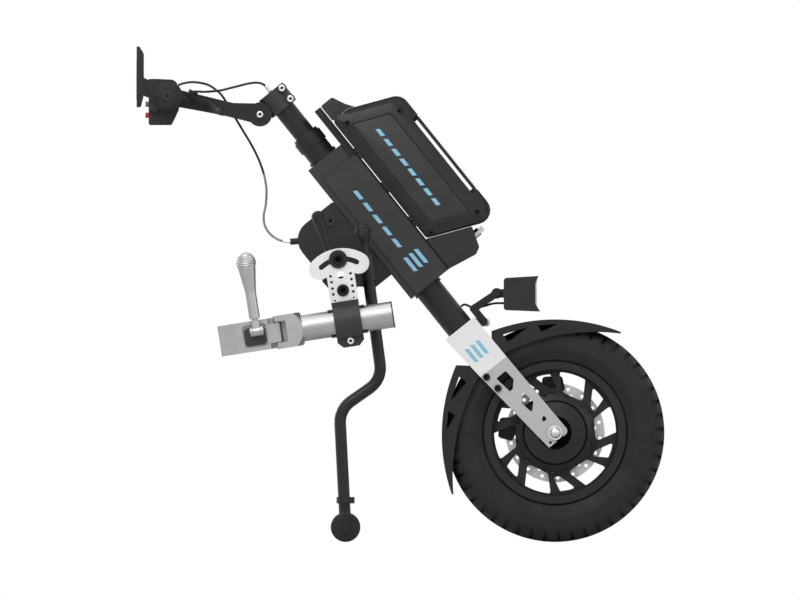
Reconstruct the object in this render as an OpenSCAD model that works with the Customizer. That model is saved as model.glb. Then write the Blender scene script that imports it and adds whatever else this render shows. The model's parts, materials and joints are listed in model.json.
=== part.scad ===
// Front-attach electric drive for a manual wheelchair.
// A steered hub-motor wheel on a leaning column, with a sliding battery, two
// telescopic docking arms that clamp the chair's frame, and two parking legs.
// +X is forward, +Y is the rider's left, +Z is up. Lengths are in millimetres.

/* [Wheel] */
// Outer radius of the tyre
tyre_r = 203; // [190:1:215]
// Width of the tyre
tyre_w = 76; // [64:1:80]
// Radius of the tyre's bead, where it leaves the rim
bead_r = 129; // [124:1:134]
// Outer radius of the rim's flange
rim_r = 132; // [129:0.5:136]
// Radius of the opening inside the rim
rim_inner_r = 113; // [106:0.5:118]
// Width of the rim
rim_w = 60; // [52:1:64]
// Radius of the hub motor's shell
hub_r = 74; // [66:1:80]
// Width of the hub motor's shell
hub_w = 84; // [70:1:90]
// Number of spoke pairs
spoke_pairs = 6; // [5:1:8]
// Radius of the brake disc
disc_r = 92; // [84:1:98]
// Thickness of the brake disc
disc_t = 2.4; // [1.8:0.1:3]
// Radius of the wheel axle
axle_r = 7; // [6:0.5:9]

/* [Column] */
// Lean of the steering column from the vertical, in degrees
lean = 38.7; // [35:0.1:42]
// Distance of the wheel axle in front of the steering axis
fork_offset = 16.2; // [8:0.2:24]
// Outer radius of the steerer tube
steerer_r = 26; // [24:0.5:28]
// Radius of the sliding mast
mast_r = 20; // [17:0.5:22]
// Height of the steerer's top above the head housing
steerer_rise = 53.5; // [40:0.5:70]
// Height of the stem clamp's middle along the column
stem_t = 804; // [795:1:830]

/* [Fork] */
// Height of the crown's top face along the column
crown_t = 262; // [250:1:275]
// Height of the bend between cheek and blade
bend_t = 179.5; // [165:0.5:195]
// Distance from the middle plane to each cheek's middle
cheek_y = 50; // [48:0.5:56]
// Thickness of the fork's plate
plate_t = 6; // [4:0.5:8]
// Outward flare of the blades, in degrees
flare = 4; // [3:0.5:6]

/* [Head] */
// Length of the head housing along the column
head_len = 306; // [290:1:320]
// Height of the head housing's lower end along the column
head_t = 360.5; // [350:0.5:370]
// Half width of the head housing
head_half_w = 38; // [36:0.5:44]
// Length of the side covers
cover_len = 275; // [255:1:285]
// Width of the side covers
cover_w = 75; // [68:1:78]
// Thickness of the side covers
cover_t = 4; // [2:0.5:6]

/* [Battery] */
// Depth of the battery in front of the dock
batt_depth = 131; // [115:1:140]
// Length of the battery's side along the dock
batt_len = 295; // [270:1:320]
// Width of the battery across the machine
batt_w = 96; // [88:1:110]
// Slant of the battery's ends, in degrees
batt_slant = 23.5; // [18:0.5:28]

/* [Docking arms] */
// Distance from the middle plane to each arm
arm_y = 165; // [158:1:185]
// Tilt of the arms at rest, rising to the front, in degrees
arm_tilt = 8.9; // [0:0.1:15]
// Outer radius of the arm tube
arm_r = 24.5; // [22:0.5:26]
// Reach of the arm tube in front of its pivot
arm_front = 84.5; // [75:0.5:100]
// Reach of the clamp's jaws behind the pivot
jaw_reach = 241; // [228:1:255]
// Drop of the arm tube's axis below the pivot
arm_drop = 58.4; // [54:0.2:64]
// Radius of the frame tube that the jaws grip
grip_r = 14; // [11:0.5:16]
// Radius of the cross tube
cross_r = 20; // [17:0.5:22]
// Thickness of the sector plates
sector_t = 8; // [5:0.5:10]

/* [Parking legs] */
// Distance from the middle plane to each leg
leg_y = 108; // [102:1:112]
// Radius of the leg tube
leg_r = 11; // [9:0.5:12]
// Radius of the leg's wheel
leg_wheel_r = 27.6; // [22:0.2:30]
// Width of the leg's wheel
leg_wheel_w = 20; // [14:1:24]

/* [Handlebar] */
// Length of the stem from its pivot to the bar
stem_len = 175; // [160:1:190]
// Rise of the stem towards the bar, in degrees
stem_rise = 11.2; // [0:0.1:25]
// Length of the handlebar
bar_len = 440; // [400:2:520]
// Radius of the handlebar
bar_r = 11.1; // [10:0.1:13]
// Radius of the grips
grip_end_r = 16; // [14.5:0.5:18]
// Height of the display
display_h = 113; // [95:1:120]
// Reach of the display behind the bar
display_reach = 57.4; // [50:0.2:66]

/* [Hidden] */

// Smoothness of round shapes, gaps between moving pieces and overrun of cuts
$fn = 48;
run = 0.3;
pin_run = 0.08;
over = 2;
arc_steps = 6;
wall = 3;
bolt_r = 4;
head_r = 6.5;
head_h = 4;

// Places along the column, in front of and behind the steering axis
steerer_top = head_t + head_len + steerer_rise;
rail_n = 40;
rail_t = 14;
rail_top = 744.5;
dock_gap = 1.5;
batt_n = rail_n + rail_t + dock_gap;
batt_t = 431;
head_back_n = 37.5;
cover_back_n = 24.9;
pivot_n = -125.9;
pivot_t = 452.6;
stem_n = -42;

// Wheel axle's place: the part stands on the floor, centred on its length
function col_x(n, t) = (n - fork_offset) * cos(lean) - t * sin(lean);
function col_z(n, t) = (n - fork_offset) * sin(lean) + t * cos(lean);
stem_x = col_x(stem_n, stem_t);
stem_z = col_z(stem_n, stem_t);
rear_x = stem_x - stem_len * cos(stem_rise) - display_reach;
axle_x = -(rear_x + tyre_r) / 2;
axle_z = tyre_r;
pivot_z = axle_z + col_z(pivot_n, pivot_t);

// Frames in which the pieces are drawn
module wheel_frame() { translate([axle_x, 0, axle_z]) children(); }
module column_frame() {
    wheel_frame() rotate([0, -lean, 0]) translate([-fork_offset, 0, 0]) children();
}
module pivot_frame() {
    column_frame() translate([pivot_n, 0, pivot_t]) rotate([0, lean, 0]) children();
}
module arm_frame(side) {
    mirror([0, side < 0 ? 1 : 0, 0]) pivot_frame() rotate([0, -arm_tilt, 0])
        translate([0, arm_y, 0]) children();
}
module leg_frame(side) {
    mirror([0, side < 0 ? 1 : 0, 0]) pivot_frame() translate([0, leg_y, 0]) children();
}
module stem_frame() {
    wheel_frame() translate([stem_x, 0, stem_z]) rotate([0, stem_rise, 0]) children();
}
module bar_frame() {
    stem_frame() translate([-stem_len, 0, 0]) rotate([0, -stem_rise, 0]) children();
}
module both_sides() {
    for (s = [0, 1]) mirror([0, s, 0]) children();
}

// Upright outline thickened across the machine
module slab(w) { rotate([90, 0, 0]) linear_extrude(height = w, center = true) children(); }
module cross_rod(r, w) { rotate([90, 0, 0]) cylinder(r = r, h = w, center = true); }
module cross_ring(outer, inner, w) {
    rotate([90, 0, 0]) linear_extrude(height = w, center = true) difference() {
        circle(r = outer);
        circle(r = inner);
    }
}
module cross_revolve() { rotate([90, 0, 0]) rotate_extrude() children(); }

// Outline with rounded corners: points in order, one radius each
function unit(v) = v / norm(v);
function fillet(a, b, c, r) =
    let (u = unit(a - b), w = unit(c - b), half = acos(u * w) / 2,
         run_in = r / tan(half), mid = b + unit(u + w) * r / sin(half),
         from = b + u * run_in - mid, to = b + w * run_in - mid,
         a0 = atan2(from[1], from[0]), turn = atan2(to[1], to[0]) - a0,
         sweep = turn > 180 ? turn - 360 : (turn < -180 ? turn + 360 : turn))
    [for (i = [0:arc_steps]) mid + r * [cos(a0 + sweep * i / arc_steps), sin(a0 + sweep * i / arc_steps)]];
function rounded(pts, radii) =
    let (n = len(pts))
    [for (i = [0:n - 1])
        each (radii[i] > 0 ? fillet(pts[(i + n - 1) % n], pts[i], pts[(i + 1) % n], radii[i]) : [pts[i]])];
function same(n, r) = [for (i = [1:n]) r];

// Tube swept along points: one ring of sides at each point
cable_sides = 8;
leg_sides = 20;
function ring_at(pts, i, r, sides) =
    let (n = len(pts), dir = unit(pts[min(i + 1, n - 1)] - pts[max(i - 1, 0)]),
         a = unit(cross(dir, [0.3, 1, 0.1])), b = cross(dir, a))
    [for (k = [0:sides - 1]) let (q = k * 360 / sides) pts[i] + r * (a * cos(q) + b * sin(q))];
module swept(pts, r, sides) {
    n = len(pts);
    m = sides;
    polyhedron(
        points = [for (i = [0:n - 1]) each ring_at(pts, i, r, sides)],
        faces = concat(
            [[for (k = [0:m - 1]) k], [for (k = [m - 1:-1:0]) (n - 1) * m + k]],
            [for (i = [0:n - 2], k = [0:m - 1]) each [
                [i * m + k, (i + 1) * m + k, i * m + (k + 1) % m],
                [i * m + (k + 1) % m, (i + 1) * m + k, (i + 1) * m + (k + 1) % m]]]));
}

// Bulb-shaped lever handle, ribbed round its ball, standing on its own origin
handle_ribs = 6;
rib_depth = 1.2;
neck_share = 0.52;
waist_share = 0.4;
rib_from = -32;
rib_to = 50;
dome_steps = 5;
function polar(r, a) = r * [cos(a), sin(a)];
module bulb_handle(length, r) {
    middle = [0, length - r];
    turn = (rib_to - rib_from) / handle_ribs / 2;
    neck = rounded([
        [0, 0], [r * neck_share, 0], [r * neck_share, length * waist_share], middle + polar(r, rib_from), middle],
        [0, 0, length * waist_share, 0, 0]);
    rotate_extrude() polygon([
        for (i = [0:len(neck) - 2]) neck[i],
        for (i = [1:handle_ribs * 2]) middle + polar(r - (i % 2) * rib_depth, rib_from + turn * i),
        for (i = [1:dome_steps]) middle + polar(r, rib_to + (90 - rib_to) * i / dome_steps)]);
}

// Wheel: tyre with shoulder blocks, spoked rim, hub motor and brake disc
tread_blocks = 48;
tread_depth = 4;
tread_gap = 7;
tyre_wall = 9;
tyre_r_shares = [0, 0.1, 0.36, 0.66, 0.88, 1];
tyre_w_shares = [0.62, 0.74, 1, 0.98, 0.84, 0.46];
tyre_fillets = [0, 0, 8, 18, 18, 14, 10];
module tyre() {
    span = tyre_r - bead_r;
    bead_w = rim_w / 2 - rim_lip - run;
    outer = [[bead_r, bead_w - rim_lip], [rim_r + run, bead_w],
             for (i = [1:5]) [bead_r + span * tyre_r_shares[i], tyre_w / 2 * tyre_w_shares[i]]];
    edge = rounded(concat(outer, [for (i = [6:-1:0]) [outer[i][0], -outer[i][1]]]),
                   [for (i = [0:13]) tyre_fillets[min(i, 13 - i)]]);
    color("#1b1b1c") wheel_frame() difference() {
        cross_revolve() difference() {
            polygon(edge);
            translate([(bead_r + tyre_r) / 2 - tyre_wall / 2, 0]) circle(r = span / 2 - tyre_wall * 1.5);
        }
        for (i = [0:tread_blocks - 1], s = [-1, 1]) rotate([0, (i + s / 4) * 360 / tread_blocks, 0])
            translate([tyre_r - tread_depth, s * tyre_w * tyre_w_shares[5] / 2, -tread_gap / 2])
            rotate([0, 0, s * 40]) translate([0, s > 0 ? 0 : -tyre_w, 0]) cube([tread_depth * 4, tyre_w, tread_gap]);
    }
}

rim_lip = 5;
spoke_t = 22;
module rim() {
    well_r = rim_inner_r + rim_lip;
    pitch = 360 / spoke_pairs;
    color("#161617") wheel_frame() union() {
        cross_revolve() polygon([
            [rim_inner_r, -rim_w / 2 + rim_lip], [well_r, -rim_w / 2], [rim_r, -rim_w / 2],
            [rim_r, -rim_w / 2 + rim_lip], [bead_r - run, -rim_w / 2 + rim_lip * 2],
            [bead_r - run, rim_w / 2 - rim_lip * 2], [rim_r, rim_w / 2 - rim_lip],
            [rim_r, rim_w / 2], [well_r, rim_w / 2], [rim_inner_r, rim_w / 2 - rim_lip]]);
        slab(spoke_t) difference() {
            circle(r = rim_inner_r + rim_lip / 2);
            circle(r = hub_r - run + pin_run);
            for (i = [0:spoke_pairs - 1]) rotate(i * pitch) spoke_window();
        }
    }
}
// Openings of one spoke pair: a wide window beside it and a narrow slot inside it, as shares of the pitch
window_hub_shares = [[0.47, 1], [0.13, 0.28]];
window_rim_shares = [[0.68, 1.1], [0.25, 0.5]];
window_in = [3, 8];
window_out = [-2, 4];
window_round = [5, 2.5];
spoke_turn = -100;
module spoke_window() {
    pitch = 360 / spoke_pairs;
    for (k = [0, 1]) {
        r_in = hub_r + window_in[k];
        r_out = rim_inner_r - window_out[k];
        hub_a = spoke_turn * [1, 1] + pitch * window_hub_shares[k];
        rim_a = spoke_turn * [1, 1] + pitch * window_rim_shares[k];
        polygon(rounded([polar(r_in, hub_a[0]), polar(r_out, rim_a[0]), polar(r_out, (rim_a[0] + rim_a[1]) / 2),
                         polar(r_out, rim_a[1]), polar(r_in, hub_a[1])],
                        [window_round[k], window_round[k], 0, window_round[k], window_round[k]]));
    }
}

hub_wall = 5;
hub_face_r = 58;
hub_boss_r = 31;
hub_step = 6;
hub_bolts = 6;
hub_bolt_in = 3.5;
bearing_r = 17.5;
bearing_w = 12;
module motor_hub() {
    half = hub_w / 2;
    color("#1d1d1f") wheel_frame() {
        difference() {
            cross_revolve() polygon(rounded([
                [bearing_r, -half - hub_step], [hub_boss_r, -half - hub_step], [hub_face_r, -half],
                [hub_r - run, -half + hub_step * 2], [hub_r - run, half - hub_step * 2],
                [hub_face_r, half], [hub_boss_r, half + hub_step], [bearing_r, half + hub_step],
                [bearing_r, half - hub_wall], [hub_r - hub_wall * 2, half - hub_wall * 3],
                [hub_r - hub_wall * 2, -half + hub_wall * 3], [bearing_r, -half + hub_wall]],
                [0, 3, 3, 4, 4, 3, 3, 0, 0, 0, 0, 0]));
            for (i = [1:hub_bolts]) rotate([0, (i + 0.25) * 360 / hub_bolts, 0])
                translate([hub_r - hub_bolt_in, -half + hub_step * 2, 0]) cross_rod(bolt_r / 2, hub_step * 2);
        }
        for (s = [-1, 1]) translate([0, s * (half + hub_step - bearing_w / 2 - run), 0])
            cross_ring(bearing_r, axle_r + pin_run, bearing_w);
    }
}

core_slots = 18;
core_gap = 2;
slot_w = 5;
module motor_core() {
    core_r = hub_r - hub_wall * 2 - core_gap;
    core_w = hub_w - hub_wall * 8;
    color("#8a5a35") wheel_frame() difference() {
        cross_rod(core_r, core_w);
        cross_rod(axle_r, core_w + over);
        for (i = [1:core_slots]) rotate([0, i * 360 / core_slots, 0])
            translate([core_r, 0, 0]) cube([core_r * 0.5, core_w + over, slot_w], center = true);
    }
}

// Brake disc on the hub's left face, with holes in three rings
disc_in_r = 52;
disc_y = hub_w / 2 + hub_step * (hub_face_r - disc_in_r) / (hub_face_r - hub_boss_r) + disc_t / 2;
disc_holes = 18;
disc_hole_r = 3.2;
disc_row_shares = [0.68, 0.8, 0.91];
module brake_disc() {
    color("silver") wheel_frame() translate([0, disc_y, 0]) slab(disc_t) difference() {
        circle(r = disc_r);
        circle(r = disc_in_r);
        for (k = [0:2], i = [1:disc_holes]) rotate((i + k / 3) * 360 / disc_holes)
            translate([disc_r * disc_row_shares[k], 0]) circle(r = disc_hole_r);
    }
}

// Fork: crown plate with two cheeks, and blades that flare out to the axle
cap_r = 13.8;
cap_flange = 4;
cap_dome_r = 10.5;
blade_len = bend_t;
blade_y = cheek_y + blade_len * tan(flare);
crown_back = 34.7;
crown_front = 33;
bend_back = 28.6;
bend_front = 34;
crown_h = 8;
toe_back = 10;
toe_front = 38;
toe_drop = 15;
toe_r = 9;
toe_heel_r = 2;
toe_hole_n = -2;
toe_hole_t = -9;
slot_r = axle_r + pin_run;
blade_w = bend_back + bend_front;
cut_n_shares = [[0.26, 0.29, 0.09, -0.02, -0.1], [0.28, 0.33, 0.1, 0.03, 0.19], [0.315, 0.33, 0.13]];
cut_t_shares = [[0.82, 0.7, 0.625, 0.617, 0.817], [0.533, 0.39, 0.312, 0.45, 0.516], [0.228, 0.163, 0.162]];
bolt_n_shares = [-0.296, -0.24];
bolt_t_shares = [0.891, 0.726];
lug_n = 47;
lug_t = 239;
lug_w = 16;
lug_h = 20;
cut_fillet = 2.5;
// The side plates seen from the front: straight at the cheeks, then flaring out
module plate_profile() {
    half = plate_t / 2;
    bend = half * tan(flare / 2);
    drop = blade_len + toe_drop + over;
    out = drop * tan(flare);
    polygon([
        [cheek_y - half, crown_t], [cheek_y + half, crown_t], [cheek_y + half, bend_t + bend],
        [cheek_y + out + half / cos(flare), bend_t - drop], [cheek_y + out - half / cos(flare), bend_t - drop],
        [cheek_y - half, bend_t - bend]]);
}
// The side plates seen from the side, with their cut-outs
module plate_outline() {
    difference() {
        polygon(rounded([[-crown_back, crown_t], [crown_front, crown_t], [bend_front, bend_t], [toe_front, -toe_drop],
                         [-toe_back, -toe_drop], [-bend_back, bend_t]], [0, 0, 0, toe_r, toe_heel_r, 0]));
        translate([toe_hole_n, toe_hole_t]) circle(r = hole_r);
        for (c = [0:2]) polygon(rounded(
            [for (i = [0:len(cut_n_shares[c]) - 1]) [blade_w * cut_n_shares[c][i], blade_len * cut_t_shares[c][i]]],
            same(len(cut_n_shares[c]), cut_fillet)));
    }
}
module fork() {
    color("#dcdcdc") column_frame() difference() {
        union() {
            intersection() {
                both_sides() translate([-toe_front, 0, 0]) rotate([90, 0, 90]) linear_extrude(height = toe_front * 2 + over)
                    plate_profile();
                slab(blade_y * 3) plate_outline();
            }
            translate([0, 0, crown_t - crown_h / 2]) linear_extrude(height = crown_h, center = true)
                polygon([[-crown_back + plate_t / 4, -cheek_y], [crown_front - plate_t / 4, -cheek_y],
                         [crown_front - plate_t / 4, cheek_y], [-crown_back + plate_t / 4, cheek_y]]);
            translate([0, 0, lug_t]) slab(lug_w) polygon(rounded([
                [-crown_front, lug_h], [lug_n, lug_h], [lug_n + lug_h / 4, 0], [lug_n, -lug_h / 2],
                [crown_front, 0]], [0, 6, 6, 6, 0]));
            caliper_tabs();
        }
        translate([fork_offset, 0, 0]) {
            cross_rod(slot_r, blade_y * 3);
            translate([0, 0, -toe_drop]) cube([slot_r * 2, blade_y * 3, toe_drop * 2], center = true);
        }
        translate([lug_n - lug_h / 4, 0, lug_t + lug_h / 4]) cross_rod(bolt_r + pin_run, lug_w + over);
    }
}
// Tabs on the left blade that carry the two calipers
caliper_turn = 41;
caliper_at = 88;
tab_w = 24;
tab_from_share = 0.5;
strap_end_share = 0.46;
tab_y = blade_y - plate_t - caliper_at * tab_from_share * tan(flare) * 2;
fork_line = atan2(col_z(0, bend_t), col_x(0, bend_t));
module caliper_tabs() {
    translate([fork_offset, tab_y + plate_t / 2, 0]) rotate([0, lean, 0]) slab(plate_t) for (s = [-1, 1])
        strap(polar(caliper_at * tab_from_share, fork_line), polar(caliper_at, fork_line + s * caliper_turn), tab_w);
}

module fork_bolts() {
    color("#3a3a3c") column_frame() both_sides() {
        translate([0, cheek_y, bend_t]) rotate([flare, 0, 0]) for (i = [0, 1])
            translate([blade_w * bolt_n_shares[i], plate_t / 2 + head_h / 2, blade_len * (bolt_t_shares[i] - 1)])
            cross_rod(head_r, head_h);
    }
}
module axle() {
    seat_y = blade_y + (plate_t / 2) / cos(flare) + cap_r * tan(flare) + run;
    color("#b9babc") wheel_frame() {
        cross_rod(axle_r, seat_y * 2 + cap_flange);
        both_sides() translate([0, seat_y, 0]) rotate([-90, 0, 0]) rotate_extrude() polygon([
            [0, 0], [cap_r, 0], [cap_r, cap_flange],
            for (i = [0:dome_steps]) [0, cap_flange] + polar(cap_dome_r, 90 * i / dome_steps)]);
    }
}

// Mudguards: an arched strip with side skirts, mirrored about the fork's line
guard_r = 332.4;
guard_gap = 7.4;
guard_drop = guard_r - tyre_r - guard_gap;
guard_low_r = 377;
guard_low_x = 73;
skirt_in = 16;
guard_low_drop = guard_low_r - tyre_r + skirt_in;
guard_tip = 122;
guard_half_w = cheek_y - plate_t / 2;
guard_wall = 2.5;
guard_back = 118;
vent_a_shares = [[[0.02, 0.72], [0.21, 0.74], [0.06, 0.34]], [[0.29, 0.74], [0.44, 0.72], [0.32, 0.34]]];
module guard_outline() {
    difference() {
        intersection() {
            translate([0, -guard_drop]) circle(r = guard_r, $fn = 160);
            translate([-guard_back, 0]) square([guard_back + guard_tip, guard_r]);
        }
        translate([guard_low_x, -guard_low_drop]) circle(r = guard_low_r, $fn = 160);
    }
}
module guard_vents() {
    top = guard_r - guard_drop;
    for (v = vent_a_shares) polygon([for (p = v)
        let (x = -guard_back * 0.86 + (guard_back + guard_tip) * p[0],
             hi = sqrt(guard_r * guard_r - x * x) - guard_drop,
             lo = sqrt(pow(guard_low_r, 2) - pow(x - guard_low_x, 2)) - guard_low_drop)
        [x, lo + (hi - lo) * p[1]]]);
}
module mudguard() {
    difference() {
        slab(guard_half_w * 2) guard_outline();
        slab((guard_half_w - guard_wall) * 2) translate([0, -guard_drop]) circle(r = guard_r - guard_wall, $fn = 160);
        slab(guard_half_w * 3) guard_vents();
    }
}
module mudguard_front() { color("#1f1f21") wheel_frame() mudguard(); }
module mudguard_rear() {
    color("#1f1f21") wheel_frame() mirror([sin(fork_line), 0, -cos(fork_line)]) mudguard();
}

// Head lamp on a hinged bracket in front of the crown
lamp_n = 93.3;
lamp_t = 269.7;
lamp_len = 65;
lamp_h = 65;
lamp_w = 66;
lamp_back = 13;
lamp_lens_t = 12;
strap_t = 5;
strap_w = 14;
ear_w = 10;
module lamp_bracket() {
    from = [lug_n - lug_h / 4, lug_t + lug_h / 4];
    knee = [lug_n - lug_h / 4, lamp_t + strap_w / 3];
    color("#232325") column_frame() {
        both_sides() translate([0, lug_w / 2 + strap_t / 2 + run / 3, 0]) slab(strap_t) difference() {
            union() {
                strap(from, knee, strap_w);
                strap(knee, [lamp_n, lamp_t], strap_w);
            }
            translate(from) circle(r = bolt_r + pin_run);
            translate([lamp_n, lamp_t]) circle(r = bolt_r + pin_run);
        }
        for (p = [from, [lamp_n, lamp_t]]) translate([p[0], 0, p[1]]) {
            cross_rod(bolt_r, lug_w + strap_t * 2 + run);
            both_sides() translate([0, lug_w / 2 + strap_t + run / 3 + head_h / 2, 0]) cross_rod(head_r, head_h);
        }
    }
}
module strap(a, b, w) {
    along = unit(b - a) * w / 2;
    across = [-along[1], along[0]];
    polygon(rounded([a - along + across, b + along + across, b + along - across, a - along - across],
                    same(4, w * strap_end_share)));
}
module lamp_frame() { column_frame() translate([lamp_n, 0, lamp_t]) rotate([0, lean, 0]) children(); }
module lamp_body() {
    front = lamp_back + lamp_len;
    color("#1c1c1e") lamp_frame() difference() {
        union() {
            slab(lamp_w) polygon(rounded([
                [lamp_back, lamp_h * 0.44], [front, lamp_h * 0.5], [front - lamp_lens_t / 2, lamp_h * 0.3],
                [front - lamp_lens_t / 2, -lamp_h * 0.3], [front + wall, -lamp_h * 0.52],
                [lamp_back + wall, -lamp_h * 0.48], [lamp_back, -lamp_h * 0.42]], [6, 1, 4, 4, 1, 3, 3]));
            slab(lug_w - run * 2) {
                circle(r = ear_w);
                translate([0, -ear_w * 0.8]) square([lamp_back + over, ear_w * 1.6]);
            }
        }
        cross_rod(bolt_r + pin_run, lamp_w);
        translate([front - lamp_lens_t * 2, -lamp_w / 2 + wall, -lamp_h / 2 + wall * 2])
            cube([lamp_lens_t * 3, lamp_w - wall * 2, lamp_h - wall * 4]);
    }
}
module lamp_lens() {
    front = lamp_back + lamp_len;
    color("#d9dde0") lamp_frame() translate([front - lamp_lens_t * 2 + run / 3, 0, 0])
        rotate([0, 90, 0]) linear_extrude(height = lamp_lens_t * 1.75) polygon(rounded([
            [-lamp_h / 2 + wall * 2 + run, -lamp_w / 2 + wall + run], [lamp_h / 2 - wall * 2 - run, -lamp_w / 2 + wall + run],
            [lamp_h / 2 - wall * 2 - run, lamp_w / 2 - wall - run], [-lamp_h / 2 + wall * 2 + run, lamp_w / 2 - wall - run]],
            same(4, 3)));
}

// Two calipers that straddle the disc, each with a round piston housing
caliper_w = 30;
caliper_h = 46;
caliper_d = 34;
pad_gap = 1.2;
piston_r = 12;
module brake_calipers() {
    inner = tab_y;
    color("#202022") wheel_frame() for (s = [-1, 1])
        rotate([0, -fork_line - s * caliper_turn, 0]) translate([caliper_at, 0, 0]) {
            difference() {
                translate([0, inner - caliper_w / 2 - run / 3, 0]) union() {
                    slab(caliper_w) polygon(rounded([
                        [-caliper_d * 0.38, -caliper_h / 2], [caliper_d * 0.5, -caliper_h * 0.4],
                        [caliper_d * 0.5, caliper_h * 0.4], [-caliper_d * 0.38, caliper_h / 2]], same(4, 7)));
                    translate([0, -caliper_w / 2 - head_h / 2, 0]) cross_rod(piston_r, head_h);
                }
                translate([-disc_r, disc_y - disc_t / 2 - pad_gap, -disc_r])
                    cube([disc_r + caliper_d * 0.3, disc_t + pad_gap * 2, disc_r * 2]);
            }
        }
}

// Steering column: steerer tube with its clamp collar, and the sliding mast
collar_h = 22;
collar_out = 2.5;
mast_low = 470;
mast_wall = 4;
stem_h = 41;
stem_wall = 8;
module steerer() {
    color("#191a1b") column_frame() {
        difference() {
            union() {
                translate([0, 0, crown_t]) cylinder(r = steerer_r, h = steerer_top - crown_t);
                for (t = [head_t - wall * 2 - run, head_t + head_len + run])
                    translate([0, 0, t]) cylinder(r = steerer_r + wall, h = wall * 2);
            }
            translate([0, 0, crown_t - over]) cylinder(r = mast_r + pin_run, h = steerer_top);
        }
        translate([0, 0, steerer_top]) difference() {
            union() {
                cylinder(r = steerer_r - run * 3, h = wall);
                translate([0, 0, -collar_h - wall]) cylinder(r = steerer_r + collar_out, h = collar_h);
            }
            translate([0, 0, -collar_h * 2]) cylinder(r = mast_r + pin_run, h = collar_h * 3);
            translate([0, 0, -collar_h * 2]) cylinder(r = steerer_r, h = collar_h * 2);
        }
    }
}
module mast() {
    color("#232325") column_frame() translate([0, 0, mast_low]) difference() {
        cylinder(r = mast_r, h = stem_t + stem_h / 2 - mast_low);
        translate([0, 0, -over]) cylinder(r = mast_r - mast_wall, h = stem_t - mast_low);
    }
}
drum_r = 22.5;
drum_w = 40;
tongue_w = 19;
stem_bolt_n = 20.6;
stem_bolt_gap = 12.5;
module stem_clamp() {
    outer = mast_r + stem_wall;
    color("#1a1a1c") column_frame() translate([0, 0, stem_t]) {
        difference() {
            union() {
                cylinder(r = outer, h = stem_h, center = true);
                translate([stem_n / 2, 0, 0]) cube([-stem_n, tongue_w, stem_h * 0.9], center = true);
                translate([stem_n, 0, 0]) cross_rod(drum_r, tongue_w);
                both_sides() translate([stem_bolt_n, outer * 0.62, 0])
                    for (s = [-1, 1]) translate([0, 0, s * stem_bolt_gap]) cross_rod(head_r + over, outer * 0.7);
            }
            cylinder(r = mast_r, h = stem_h + over, center = true);
            translate([outer, 0, 0]) cube([outer, wall, stem_h + over], center = true);
            translate([stem_n, 0, 0]) cross_rod(bolt_r + pin_run, drum_w + over);
            both_sides() translate([stem_n, tongue_w / 2 + drum_w / 2, 0]) cross_rod(drum_r + run * 2, drum_w);
        }
        both_sides() for (s = [-1, 1]) translate([stem_bolt_n, outer + head_h / 2 - head_h / 4, s * stem_bolt_gap])
            cross_rod(head_r, head_h);
    }
}

// Stem arm, handlebar and what it carries
stem_w_share = 0.9;
stem_tube_r = 15;
bar_clamp_r = 19;
grip_in = 100;
grip_len = bar_len / 2 - grip_in;
module stem_arm() {
    color("#19191b") stem_frame() {
        difference() {
            union() {
                cross_rod(drum_r, drum_w);
                translate([-stem_len, 0, 0]) cross_rod(bar_clamp_r, drum_w);
                translate([-stem_len * 0.5, 0, 0]) slab(drum_w * stem_w_share) polygon(rounded([
                    [stem_len * 0.46, drum_r * 0.86], [stem_len * 0.2, stem_tube_r * 0.75],
                    [-stem_len * 0.46, bar_clamp_r * 0.86], [-stem_len * 0.46, -bar_clamp_r * 0.86],
                    [stem_len * 0.1, -stem_tube_r], [stem_len * 0.46, -drum_r * 0.8]], [2, 20, 6, 6, 20, 2]));
            }
            cross_rod(drum_r + over, tongue_w + run * 2);
            translate([-stem_len, 0, 0]) cross_rod(bar_r, drum_w * 2);
        }
        cross_rod(bolt_r, drum_w);
        both_sides() translate([0, drum_w / 2 + head_h / 2, 0]) cross_rod(head_r, head_h);
    }
}
module handlebar() {
    color("#141415") bar_frame() difference() {
        cross_rod(bar_r, bar_len);
        cross_rod(bar_r - wall, bar_len + over);
    }
}
grip_flange = 20;
grip_flange_w = 5;
grip_guard_r = 28;
grip_rings = 7;
ring_from_share = 0.105;
ring_w_share = 0.04;
grip_ring_depth = 1;
module grips() {
    color("#222223") bar_frame() both_sides() translate([0, bar_len / 2 - grip_len, 0]) difference() {
        rotate([-90, 0, 0]) rotate_extrude() polygon([
            [0, 0], [grip_guard_r, 0], [grip_guard_r, grip_flange_w], [grip_end_r, grip_flange_w * 2],
            for (i = [1:grip_rings]) let (y = grip_len * ring_from_share * i, w = grip_len * ring_w_share)
                each [[grip_end_r, y], [grip_end_r - grip_ring_depth, y + w / 2], [grip_end_r, y + w]],
            [grip_end_r, grip_len - grip_flange_w], [grip_flange, grip_len - grip_flange_w + grip_ring_depth],
            [grip_flange, grip_len + over], [grip_end_r * 0.6, grip_len + grip_flange_w], [0, grip_len + grip_flange_w]]);
        translate([0, grip_len / 2, 0]) cross_rod(bar_r, grip_len);
    }
}

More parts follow.
